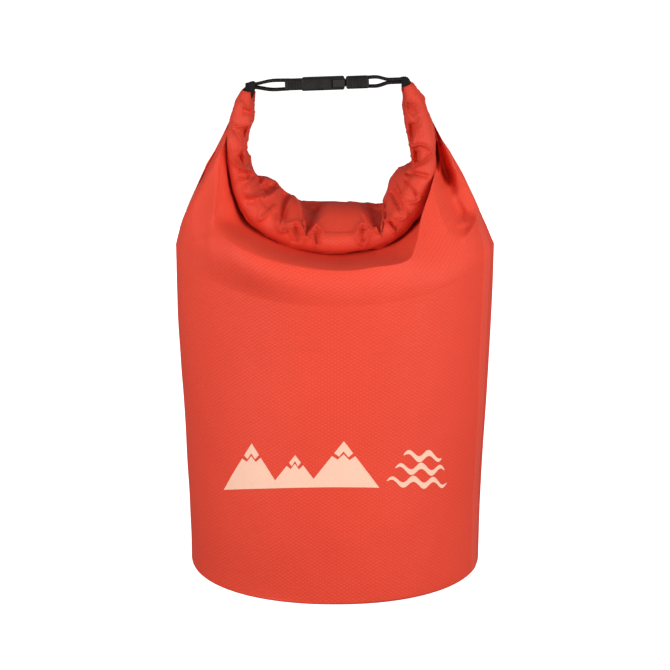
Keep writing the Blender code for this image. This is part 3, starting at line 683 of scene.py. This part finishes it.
def facing(points, normals):
    """How squarely each place faces the front view's eye, from -1 to 1."""
    return np.sum(normals * unit(EYE_AT - points), axis=-1)


def weave_places(grid, across):
    """Where each point lies on the flat cloth: along the warp and the weft, in millimetres."""
    steps = np.linalg.norm(np.diff(grid, axis=0), axis=2)
    up = np.concatenate([np.zeros((1, grid.shape[1])), np.cumsum(steps, axis=0)])
    return np.stack([np.broadcast_to(across, up.shape), up, np.zeros_like(up)], axis=-1)


def grid_faces(shape, first, flip):
    rows, columns = shape[:2]
    corner = first + np.arange(rows * columns).reshape(rows, columns)
    quads = [corner[:-1, :-1], corner[:-1, 1:], corner[1:, 1:], corner[1:, :-1]]
    if flip:
        quads.reverse()
    return np.stack(quads, axis=-1).reshape(-1, 4)


def hem_ends(grid, weave):
    """Turns the roll's two open ends in, as hems that the webbing comes out of."""
    hems, places = [], []
    for end, beside in ((0, 1), (-1, -2)):
        rim = grid[:, end]
        middle = rim.mean(axis=0)
        out = unit(middle - grid[:, beside].mean(axis=0))
        hems.append([middle + (rim - middle) * grow + out * reach for grow, reach in HEM])
        places.append([weave[:, end]] * len(HEM))
    grid = np.stack(hems[0][::-1] + list(grid.transpose(1, 0, 2)) + hems[1], axis=1)
    weave = np.stack(places[0] + list(weave.transpose(1, 0, 2)) + places[1], axis=1)
    return grid, weave


def fabric_grids():
    """Every grid of the fabric: name, points, weave places and whether its faces flip."""
    front, back = panel_grids()
    front, back = sculpt_panel(front, 1, True), sculpt_panel(back, -1, False)
    across = np.linspace(-0.5, 0.5, PANEL_COLUMNS) * math.pi * SHOULDER_X
    front_weave = weave_places(front, across)
    front_weave[..., 2] = seam_tape(front.shape)
    roll = sculpt_roll(*roll_grid())
    length = lengths(roll.mean(axis=0))
    roll, roll_weave = hem_ends(roll, weave_places(roll, length - length[-1] / 2))
    return [
        ("front", front, front_weave, False),
        ("back", back, weave_places(back, across), True),
        ("roll", roll, roll_weave, True),
    ]


def set_weave(mesh, places):
    """Keeps where each vertex lies on the flat cloth, for the weave in the material."""
    layer = mesh.attributes.new("weave", "FLOAT_VECTOR", "POINT")
    layer.data.foreach_set("vector", places.astype(np.float32).ravel())


def cut_piece(name, points, normals, weave, faces, on_roll, materials):
    """One fabric piece from chosen faces of the whole, shaded as part of the whole."""
    used, corners = np.unique(faces, return_inverse=True)
    loops = [list(dict.fromkeys(face)) for face in corners.reshape(-1, 4).tolist()]
    whole = [i for i, loop in enumerate(loops) if len(loop) > 2]
    mesh = bpy.data.meshes.new(name)
    mesh.from_pydata((points[used] * MM).tolist(), [], [loops[i] for i in whole])
    for material in materials:
        mesh.materials.append(material)
    # Faces on the roll take the second material, a darker copy of the cloth that is painted shade.
    mesh.polygons.foreach_set("material_index", on_roll[whole].astype(np.int32))
    set_weave(mesh, weave[used])
    mesh.shade_smooth()
    mesh.normals_split_custom_set_from_vertices(normals[used].tolist())
    return link(name, mesh)


def link(name, data):
    made = bpy.data.objects.new(name, data)
    bpy.context.scene.collection.objects.link(made)
    return made


def vertex_normals(points, faces):
    a, b, c, d = (points[faces[:, k]] for k in range(4))
    flat = np.cross(c - a, d - b)
    normals = np.zeros_like(points)
    for k in range(4):
        np.add.at(normals, faces[:, k], flat)
    normals[np.linalg.norm(normals, axis=1) < 1e-9] = (0, 0, 1)
    return unit(normals)


def build_fabric(red, roll_red_painted_shade):
    """The bag's fabric: its walls and roll on the body, and the two ears' own fabric."""
    points, weaves, faces, kinds, first = [], [], [], [], 0
    for kind, grid, weave, flip in fabric_grids():
        quads = grid_faces(grid.shape, first, flip)
        points.append(grid.reshape(-1, 3))
        weaves.append(weave.reshape(-1, 3))
        faces.append(quads)
        kinds.append(np.full(len(quads), kind == "roll"))
        first += grid.shape[0] * grid.shape[1]
    points, weaves = np.concatenate(points), np.concatenate(weaves)
    faces, on_roll = np.concatenate(faces), np.concatenate(kinds)
    _, keep, same = np.unique(np.round(points, 3), axis=0, return_index=True, return_inverse=True)
    points, weaves, faces = points[keep], weaves[keep], same.ravel()[faces]
    normals = vertex_normals(points, faces)

    low = points[faces].min(axis=1)
    high = low[:, 2] > EAR_SPLIT
    left, right = high & (low[:, 0] < 0), high & (low[:, 0] > 0)
    made = {}
    for name, chosen in (
        ("bag_walls", ~left & ~right & ~on_roll),
        ("rolled_mouth", ~left & ~right & on_roll),
        ("left_ear_fabric", left),
        ("right_ear_fabric", right),
    ):
        made[name] = cut_piece(
            name, points, normals, weaves, faces[chosen], on_roll[chosen], (red, roll_red_painted_shade)
        )
    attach(made["bag_walls"], "bag_body")
    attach(made["rolled_mouth"], "bag_body")
    for side in ("left", "right"):
        blend_with_ear(made[side + "_ear_fabric"])
        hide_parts(f"gusset_{side}_ear", f"roll_{side}_ear")
    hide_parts("body_tube")
    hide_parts("roll_centre")
    return made


def blend_with_ear(piece):
    """Bakes the piece's transform into its mesh."""
    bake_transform(piece)


def ribbon(name, path, across, thickness, material):
    """A strip with rounded edges along a path, in world millimetres.

    across points from its middle to one edge, step for step.
    """
    depth = np.cross(unit(np.gradient(path, axis=0)), unit(across)) * thickness / 2
    half = np.linalg.norm(across, axis=1)[:, None]
    ring = []
    for side in (1, -1):
        for turn in np.radians((-90, -45, 0, 45, 90)):
            inset = thickness / 2 * (1 - math.cos(turn))
            ring.append(path + side * (across * (1 - inset / half) + depth * math.sin(turn)))
    around = len(ring)
    points = np.stack(ring, axis=1)
    reach = np.sum((points - path[:, None]) * unit(across)[:, None], axis=2)
    length = np.broadcast_to(lengths(path)[:, None], reach.shape)
    faces = []
    for i in range(len(path) - 1):
        for k in range(around):
            a, b = around * i + k, around * i + (k + 1) % around
            faces.append((b, a, a + around, b + around))
    last = around * (len(path) - 1)
    faces += [tuple(range(around)), tuple(last + around - 1 - k for k in range(around))]
    mesh = bpy.data.meshes.new(name)
    mesh.from_pydata((points.reshape(-1, 3) * MM).tolist(), [], faces)
    set_weave(mesh, np.stack([reach, length, reach * 0], axis=-1))
    mesh.shade_smooth()
    mesh.set_sharp_from_angle(angle=math.radians(50))
    mesh.materials.append(material)
    return link(name, mesh)


def roll_strip(name, low, high, half_width, lift, thickness, material):
    """A flat band rolled up inside the mouth, from one place along the roll to another."""
    front, back, up, _ = roll_frame(np.linspace(low, high, 90))
    path = (front + back) / 2 + up * lift + LOOP_AT
    return ribbon(name, path, unit(back - front) * half_width, thickness, material)


def build_core(webbing, plastic):
    """The mouth's webbing and its stiffener, rolled up inside the fabric."""
    at = np.linspace(0, 1, 800)
    front, back, _, _ = roll_frame(at)
    height = (front[:, 2] + back[:, 2]) / 2 + LOOP_AT[2]
    left = at[(at < 0.5) & (height < CORE_SPLIT)][0]
    right = at[(at > 0.5) & (height < CORE_SPLIT)][-1]
    ends = {"left_ear": (0.0, left), "centre": (left, right), "right_ear": (right, 1.0)}
    # Each strip's kind and slot, how far it stops short of the tips, and its sizes.
    for kind, slot, short, *sizes in (
        ("mouth_webbing", "black_webbing", 0.012, 12.5, 0.9, 1.3, webbing),
        ("stiffener", "stiffener_plastic", 0.03, 10.0, -0.8, 1.0, plastic),
    ):
        for part, (low, high) in ends.items():
            low, high = max(low, short), min(high, 1 - short)
            piece = roll_strip(f"rolled_{kind}_{part}", low, high, *sizes)
            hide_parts(f"{kind}_{part}")
            if part == "centre":
                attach(piece, "bag_body")
            else:
                blend_with_ear(piece)


# -------- straps and buckle


def in_loop(x, y, z):
    """A place in the loop's frame, in millimetres, as world millimetres."""
    return LOOP @ Vector((x * MM, y * MM, z * MM)) / MM


def loop_place(name):
    """Where a joint sits in the loop's frame, in millimetres."""
    return LOOP.inverted() @ joint_place(name) / MM


def strap_path(hinge, bar, stitched):
    """The webbing from its stitched end over and under the buckle's bar, seen from the front."""
    away = math.copysign(1.0, hinge.x - bar.x)
    reach = abs(hinge.x - bar.x) + STRAP_OVERHANG
    rest = STRAP_THICKNESS / 2 + STRAP_GAP
    turn = BAR_RADIUS + BAR_PLAY + STRAP_THICKNESS / 2
    share = np.linspace(0, 1, 24)
    swell = smooth(0, 1, share)
    height = rest + (turn - rest) * swell + STRAP_BELLY * np.sin(math.pi * swell)
    upper = [(reach, rest)] + list(zip((reach - stitched) * (1 - share), height))
    angles = np.radians(np.arange(15, 180, 15))
    bend = [(-turn * math.sin(a), turn * math.cos(a)) for a in angles]
    whole = upper + bend + [(x, -z) for x, z in reversed(upper)]
    return np.array([in_loop(bar.x + away * x, bar.y, bar.z + z) for x, z in whole])


def build_straps(webbing, thread):
    """A doubled loop of webbing from each ear's tip to the buckle, and its stitching."""
    for side, swivel, stitched in (
        ("left", "female_half_swivel", 4.0),
        ("right", "male_half_swivel", 12.0),
    ):
        hinge, bar = loop_place(side + "_strap_bend"), loop_place(swivel)
        path = strap_path(hinge, bar, stitched)
        across = np.array(LOOP_Y) * STRAP_HALF_WIDTH + np.zeros_like(path)
        strap = ribbon(f"strap_webbing_{side}", path, across, STRAP_THICKNESS, webbing)
        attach(strap, side + "_strap")
        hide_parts(f"strap_loop_{side}")
        build_tack(side, hinge, thread)
        build_tip(side, webbing)


def build_tack(side, hinge, thread):
    """A close zigzag of thread through both layers of a strap, from edge to edge."""
    inward = -math.copysign(1.0, hinge.x)
    count = 2 * int(TACK_HALF_WIDTH / TACK_STEP)
    top = hinge.z + STRAP_THICKNESS + THREAD_RADIUS
    places = []
    for k in range(count + 1):
        x = hinge.x + inward * (TACK_NEAR if k % 2 else TACK_FAR)
        y = -TACK_HALF_WIDTH + TACK_STEP * k
        places += [in_loop(x - TURN_X, y - TURN_Y, top), in_loop(x + TURN_X, y + TURN_Y, top)]
    tack = tube(f"bar_tack_thread_{side}", places, THREAD_RADIUS, thread)
    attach(tack, side + "_strap")
    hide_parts(f"bar_tack_{side}")


def tube(name, places, radius, material):
    """A round thread through places given in world millimetres, as a mesh."""
    curve = bpy.data.curves.new(name + "_line", "CURVE")
    curve.dimensions = "3D"
    curve.bevel_depth = radius * MM
    curve.bevel_resolution = 1
    curve.use_fill_caps = True
    line = curve.splines.new("POLY")
    line.points.add(len(places) - 1)
    for point, place in zip(line.points, places):
        point.co = (*(Vector(place) * MM), 1)
    drawn = bpy.data.objects.new(name + "_line", curve)
    mesh = bpy.data.meshes.new_from_object(drawn)
    bpy.data.objects.remove(drawn)
    bpy.data.curves.remove(curve)
    mesh.name = name
    mesh.shade_smooth()
    mesh.materials.clear()
    mesh.materials.append(material)
    return link(name, mesh)


def from_bmesh(name, shape, material):
    """An object made of a bmesh in metres, which is freed."""
    mesh = bpy.data.meshes.new(name)
    shape.to_mesh(mesh)
    shape.free()
    mesh.shade_smooth()
    mesh.materials.append(material)
    return link(name, mesh)


def build_tip(side, webbing):
    """The folded webbing that comes out of an ear's open end."""
    shape = bmesh.new()
    origin = Vector(LOOP_AT)
    corners = [shape.verts.new(origin + Vector((x, -TIP_HALF_WIDTH, z))) for x, z in TIPS[side]]
    made = bmesh.ops.extrude_face_region(shape, geom=[shape.faces.new(corners)])
    moved = [item for item in made["geom"] if isinstance(item, bmesh.types.BMVert)]
    bmesh.ops.translate(shape, verts=moved, vec=(0, 2 * TIP_HALF_WIDTH, 0))
    bmesh.ops.bevel(
        shape, geom=shape.edges[:], offset=0.6, segments=3, affect="EDGES", clamp_overlap=True
    )
    bmesh.ops.recalc_face_normals(shape, faces=shape.faces[:])
    layer = shape.verts.layers.float_vector.new("weave")
    for vert in shape.verts:
        local = vert.co - origin
        vert[layer] = (local.y, local.x + local.z, 0)
    bmesh.ops.scale(shape, vec=(MM, MM, MM), verts=shape.verts[:])
    tip = from_bmesh(f"tip_webbing_{side}", shape, webbing)
    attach(tip, side + "_ear")


def build_grips(plastic):
    """Raised ribs moulded on the buckle's two long edges, where fingers hold it."""
    turned = LOOP.to_3x3().to_4x4()
    for half, body, low, high, height, edge in GRIPS:
        size = Matrix.Diagonal((GRIP_RIB_WIDTH, 2 * GRIP_PROUD, height, 1))
        shape = bmesh.new()
        for side in (-1, 1):
            for k in range(GRIP_RIBS):
                x = low + (high - low) * (k + 0.5) / GRIP_RIBS
                place = Matrix.Translation(in_loop(x, side * edge, STRAP_LEVEL))
                bmesh.ops.create_cube(shape, size=1.0, matrix=place @ turned @ size)
        bmesh.ops.bevel(shape, geom=shape.edges[:], offset=0.14, segments=2, affect="EDGES")
        bmesh.ops.scale(shape, vec=(MM, MM, MM), verts=shape.verts[:])
        ribs = from_bmesh(f"buckle_ribs_{half}", shape, plastic)
        ribs.data.set_sharp_from_angle(angle=math.radians(60))
        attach(ribs, body)


def dress_cad(plastic, base, tape):
    """Finishes for the CAD pieces that stay as they are."""
    for name, stuff in (
        ("buckle_female", plastic),
        ("buckle_male", plastic),
        ("prong_front", plastic),
        ("prong_rear", plastic),
        ("base_panel", base),
        ("base_seam_tape", tape),
        ("side_seam_tape", tape),
    ):
        bpy.data.objects[name].material_slots[0].material = stuff


# -------- print on the front


def peak(left, top, right, height, cap):
    """A mountain with a zigzag gap below its snow cap: two outlines, in millimetres."""
    def edges(y):
        return left + (top - left) * y / height, right + (top - right) * y / height

    low = height - cap
    start, end = edges(low)
    drops = (0, -2.4, 1.2, -2.8, 0)
    zigzag = [(start + (end - start) * k / 4, low + drop) for k, drop in enumerate(drops)]
    body = [(left, 0.0)] + zigzag + [(right, 0.0)]
    start, end = edges(low + SNOW_GAP)
    snow = [(x + (top - x) * SNOW_GAP / cap, y + SNOW_GAP) for x, y in zigzag[1:-1]]
    snow = [(start, low + SNOW_GAP)] + snow + [(end, low + SNOW_GAP), (top, height)]
    return [body, snow]


def wave(start, end, level):
    """A wavy band that thins to both its ends."""
    xs = np.linspace(start, end, 40)
    share = (xs - start) / (end - start)
    middle = level + WAVE_SWING * np.sin((xs - start) / WAVE_LENGTH * 2 * math.pi)
    half = WAVE_THICKNESS / 2 * np.sqrt(np.maximum(np.sin(math.pi * share), 0)) + 0.05
    return list(zip(xs, middle + half)) + list(zip(xs, middle - half))[::-1]


def build_print(walls, ink):
    """Peaks and waves printed on the front, each point laid on the cloth."""
    outlines = [outline for numbers in PEAKS for outline in peak(*numbers)]
    outlines += [wave(*numbers) for numbers in WAVES]
    shape = bmesh.new()
    for outline in outlines:
        corners = [shape.verts.new((x, y, 0)) for x, y in outline]
        edges = [shape.edges.new((a, b)) for a, b in zip(corners, corners[1:] + corners[:1])]
        bmesh.ops.triangle_fill(shape, edges=edges, use_beauty=True)
    for _ in range(7):
        long = [edge for edge in shape.edges if edge.calc_length() > PRINT_EDGE]
        if not long:
            break
        bmesh.ops.subdivide_edges(shape, edges=long, cuts=1)
        bmesh.ops.triangulate(shape, faces=shape.faces[:])
    cloth = BVHTree.FromObject(walls, bpy.context.evaluated_depsgraph_get())
    radius = BASE_RADIUS + PRINT_EASE
    for vert in shape.verts:
        turn = vert.co.x / radius
        height = PRINT_FOOT - PRINT_ARCH * (vert.co.x / PRINT_HALF) ** 2 + vert.co.y
        out = Vector((math.sin(turn), -math.cos(turn), 0))
        place = cloth.ray_cast(out * 0.2 + Vector((0, 0, height * MM)), -out)[0]
        vert.co = place + out * PRINT_STAND
    bmesh.ops.recalc_face_normals(shape, faces=shape.faces[:])
    piece = from_bmesh("front_print", shape, ink)
    if piece.data.polygons[0].normal.y > 0:
        piece.data.flip_normals()
    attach(piece, "bag_body")


# -------- materials


def new_material(name, colour, roughness, specular=0.5):
    made = bpy.data.materials.new(name)
    made.use_nodes = True
    shader = made.node_tree.nodes["Principled BSDF"]
    shader.inputs["Base Color"].default_value = (*colour, 1)
    shader.inputs["Roughness"].default_value = roughness
    shader.inputs["Specular IOR Level"].default_value = specular
    return made, made.node_tree, shader


def node(tree, kind, inputs=(), **settings):
    """A shader node with settings; each input is a value or the socket that feeds it."""
    made = tree.nodes.new(kind)
    for key, value in settings.items():
        setattr(made, key, value)
    for key, value in dict(inputs).items():
        if isinstance(value, bpy.types.NodeSocket):
            tree.links.new(value, made.inputs[key])
        else:
            made.inputs[key].default_value = value
    return made


def feed(tree, shader, colour, normal, rough=None):
    """Joins a material's colour, bump and roughness to its shader."""
    tree.links.new(colour, shader.inputs["Base Color"])
    tree.links.new(normal, shader.inputs["Normal"])
    if rough is not None:
        tree.links.new(rough, shader.inputs["Roughness"])


def maths(tree, operation, *values):
    return node(tree, "ShaderNodeMath", dict(enumerate(values)), operation=operation).outputs[0]


def object_place(tree):
    """A point's place on the object, in metres."""
    return node(tree, "ShaderNodeTexCoord").outputs["Object"]


def cloth_place(tree):
    """A point's place on the flat cloth, in millimetres, and whether a seam's tape is on it."""
    return node(tree, "ShaderNodeAttribute", attribute_name="weave").outputs["Vector"]


def parts(tree, place):
    return list(node(tree, "ShaderNodeSeparateXYZ", {0: place}).outputs)


def noise(tree, scale, detail):
    inputs = {"Vector": object_place(tree), "Scale": scale, "Detail": detail}
    return node(tree, "ShaderNodeTexNoise", inputs).outputs["Fac"]


def stripes(tree, value, pitch):
    """Waves from -1 to 1 that repeat as value grows by a pitch."""
    return maths(tree, "SINE", maths(tree, "MULTIPLY", value, 2 * math.pi / pitch))


def mixed(tree, share, first, second):
    inputs = {"Factor": share, "A": first, "B": second}
    return node(tree, "ShaderNodeMix", inputs, data_type="RGBA").outputs["Result"]


def ramp(tree, value, low, high, dark, light):
    """Mixes two colours as value goes from low to high."""
    share = node(tree, "ShaderNodeMapRange", {"Value": value, "From Min": low, "From Max": high})
    return mixed(tree, share.outputs["Result"], (*dark, 1), (*light, 1))


def bump_by(tree, height, distance, strength, before=None):
    """A bump over the one before it, if any; its distance is in metres."""
    inputs = {"Height": height, "Distance": distance, "Strength": strength}
    if before is not None:
        inputs["Normal"] = before
    return node(tree, "ShaderNodeBump", inputs).outputs["Normal"]


def diamonds(tree, place):
    """Puffed diamond cells between thin crossing lines: 0 on a line, 1 in a cell."""
    x, y, _ = parts(tree, place)
    across = maths(tree, "MULTIPLY", x, 1 / CELL_WIDTH)
    up = maths(tree, "MULTIPLY", y, 1 / CELL_HEIGHT)
    slopes = [maths(tree, "ADD", across, up), maths(tree, "SUBTRACT", across, up)]
    folded = [maths(tree, "PINGPONG", slope, 0.5) for slope in slopes]
    return maths(tree, "MULTIPLY", maths(tree, "MINIMUM", *folded), 2.0)


def yarns(tree, place, pitch):
    """The height of a plain weave's crossing yarns, pitch apart."""
    x, y, _ = parts(tree, place)
    return maths(tree, "MULTIPLY", stripes(tree, x, pitch), stripes(tree, y, pitch))


def coated_fabric(name, share):
    """Red coated cloth with a small diamond weave, its colour scaled by share; a share below 1
    makes a darker copy, which is painted shade.

    Where a seam's tape lies over it the cloth is smoother, and paler: partly the tape's own colour,
    partly painted sheen.
    """
    reds = (RED_DARK, RED_LIGHT, RED_TAPE_AND_SHEEN)
    dark, light, tape = (tuple(share * part for part in red) for red in reds)
    made, tree, shader = new_material(name, light, 0.5, specular=0.25)
    place = cloth_place(tree)
    taped = parts(tree, place)[2]
    cells = maths(tree, "MAXIMUM", diamonds(tree, place), maths(tree, "MULTIPLY", taped, 0.8))
    grain = noise(tree, scale=900.0, detail=2.0)
    tone = maths(tree, "MULTIPLY", maths(tree, "POWER", cells, 0.5), 0.42)
    tone = maths(tree, "MULTIPLY_ADD", noise(tree, scale=14.0, detail=3.0), 0.3, tone)
    tone = maths(tree, "MULTIPLY_ADD", grain, 0.2, tone)
    woven = ramp(tree, tone, 0.18, 0.78, dark, light)
    # A seam's tape mixes in its paler red, partly painted sheen.
    colour = mixed(tree, maths(tree, "MULTIPLY", taped, 0.4), woven, (*tape, 1))
    rough = maths(tree, "MULTIPLY_ADD", cells, -0.08, 0.6)
    rough = maths(tree, "MULTIPLY_ADD", taped, -0.15, rough)
    normal = bump_by(tree, maths(tree, "POWER", cells, 0.6), 0.0002, 0.45)
    normal = bump_by(tree, yarns(tree, place, pitch=0.42), 0.00003, 0.5, normal)
    feed(tree, shader, colour, bump_by(tree, grain, 0.00006, 0.4, normal), rough)
    return made


def peach_ink():
    """Matt screen-print ink that lets the cloth's grain through."""
    made, tree, shader = new_material("peach_ink", PEACH, 0.65)
    specks = noise(tree, scale=1100.0, detail=3.0)
    tone = maths(tree, "MULTIPLY_ADD", noise(tree, scale=60.0, detail=3.0), 0.4, specks)
    colour = ramp(tree, tone, 0.3, 0.75, PEACH_DARK, PEACH)
    feed(tree, shader, colour, bump_by(tree, specks, 0.00008, 0.5))
    return made


def woven_webbing():
    """Black polyester webbing: chevron ribs along it, crossed by fine weft."""
    made, tree, shader = new_material("woven_webbing_black", BLACK, 0.75, specular=0.2)
    across, length, _ = parts(tree, cloth_place(tree))
    slant = maths(tree, "ADD", length, maths(tree, "PINGPONG", across, 2.1))
    picks = stripes(tree, slant, pitch=0.9)
    woven = maths(tree, "MULTIPLY_ADD", stripes(tree, across, pitch=1.4), 0.4, picks)
    fuzz = noise(tree, scale=1800.0, detail=2.0)
    tone = maths(tree, "MULTIPLY_ADD", woven, 0.2, fuzz)
    colour = ramp(tree, tone, 0.2, 0.9, BLACK_DARK, BLACK_LIGHT)
    normal = bump_by(tree, woven, 0.00018, 0.7)
    feed(tree, shader, colour, bump_by(tree, fuzz, 0.00008, 0.5, normal))
    return made


def twisted_thread():
    """Black sewing thread: two plies twisted together."""
    made, tree, shader = new_material("twisted_thread_black", BLACK_LIGHT, 0.6, specular=0.3)
    x, y, z = parts(tree, object_place(tree))
    slant = maths(tree, "ADD", x, maths(tree, "ADD", y, z))
    plies = stripes(tree, slant, pitch=0.0005)
    colour = ramp(tree, plies, -1.0, 1.0, BLACK_DARK, BLACK_LIGHT)
    feed(tree, shader, colour, bump_by(tree, plies, 0.00008, 0.6))
    return made


def base_cloth():
    """Heavier cloth under the base: a basket weave scuffed where it stands."""
    made, tree, shader = new_material("base_cloth_red", RED_DARK, 0.6, specular=0.25)
    basket = yarns(tree, object_place(tree), pitch=0.0021)
    scuffs = noise(tree, scale=45.0, detail=6.0)
    tone = maths(tree, "MULTIPLY_ADD", basket, 0.2, scuffs)
    colour = ramp(tree, tone, 0.25, 0.8, BASE_RED_DARK, RED_DARK)
    rough = maths(tree, "MULTIPLY_ADD", scuffs, 0.3, 0.45)
    feed(tree, shader, colour, bump_by(tree, basket, 0.0002, 0.6), rough)
    return made


def welded_tape():
    """Seam tape: a smooth film with weld marks pressed across it."""
    made, tree, shader = new_material("welded_tape_red", RED_TAPE_AND_SHEEN, 0.45, specular=0.3)
    marks = stripes(tree, parts(tree, object_place(tree))[2], pitch=0.0015)
    tone = maths(tree, "MULTIPLY_ADD", marks, 0.1, noise(tree, scale=90.0, detail=4.0))
    # The paler red is partly the tape's own colour and partly painted sheen.
    colour = ramp(tree, tone, 0.3, 0.75, RED_DARK, RED_TAPE_AND_SHEEN)
    feed(tree, shader, colour, bump_by(tree, marks, 0.0001, 0.5))
    return made


def moulded_plastic(name, colour, dark, light, roughness):
    """Moulded plastic with a fine spark-eroded grain and slightly worn, paler patches."""
    made, tree, shader = new_material(name, colour, roughness, specular=0.16)
    wear = noise(tree, scale=120.0, detail=5.0)
    grain = noise(tree, scale=2600.0, detail=2.0)
    rough = maths(tree, "MULTIPLY_ADD", wear, 0.25, roughness - 0.12)
    colour = ramp(tree, wear, 0.35, 0.75, dark, light)
    feed(tree, shader, colour, bump_by(tree, grain, 0.00005, 0.35), rough)
    return made


# -------- floor, light, camera


def studio():
    """Soft lamps round the bag, faint light from everywhere, and a plain white floor."""
    world = bpy.data.worlds.new("studio")
    bpy.context.scene.world = world
    world.use_nodes = True
    world.node_tree.nodes["Background"].inputs["Color"].default_value = (1, 1, 1, 1)
    world.node_tree.nodes["Background"].inputs["Strength"].default_value = AMBIENT
    bpy.context.scene.view_settings.view_transform = "Standard"
    bpy.ops.mesh.primitive_plane_add(size=80, location=(0, 0, -0.0005))
    floor = bpy.context.object
    floor.name = "floor"
    white, _, shader = new_material("white_floor", (0.85, 0.85, 0.85), 0.8)
    shader.inputs["Emission Color"].default_value = (1, 1, 1, 1)
    shader.inputs["Emission Strength"].default_value = FLOOR_GLOW
    floor.data.materials.append(white)
    floor.visible_diffuse = False
    floor.visible_glossy = False
    for name, place, size, power in LAMPS:
        data = bpy.data.lights.new(name, "AREA")
        data.size = size
        data.energy = power
        lamp = link(name, data)
        lamp.location = place
        lamp.visible_camera = False
        lamp.visible_glossy = name not in ("back", "top")
        lamp.rotation_euler = (LAMP_AIM - lamp.location).to_track_quat("-Z", "Y").to_euler()


def camera():
    data = bpy.data.cameras.new("camera")
    data.lens = FOCAL_LENGTH * data.sensor_width
    made = link("camera", data)
    made.location = EYE
    made.rotation_euler = (math.pi / 2 - EYE_DOWN, 0, 0)
    bpy.context.scene.camera = made


camera()
studio()
# The roll's copy of the cloth is darkened to 0.88 as painted shade.
fabric = build_fabric(coated_fabric("coated_fabric", 1.0), coated_fabric("rolled_fabric_painted_shade", 0.88))
webbing = woven_webbing()
buckle_plastic = moulded_plastic("buckle_plastic", BLACK, BLACK_DARK, BLACK_LIGHT, 0.45)
stiffener_plastic = moulded_plastic("stiffener_sheet", MILKY, MILKY_DARK, MILKY, 0.5)
build_core(webbing, stiffener_plastic)
build_straps(webbing, twisted_thread())
build_grips(buckle_plastic)
dress_cad(buckle_plastic, base_cloth(), welded_tape())
build_print(fabric["bag_walls"], peach_ink())
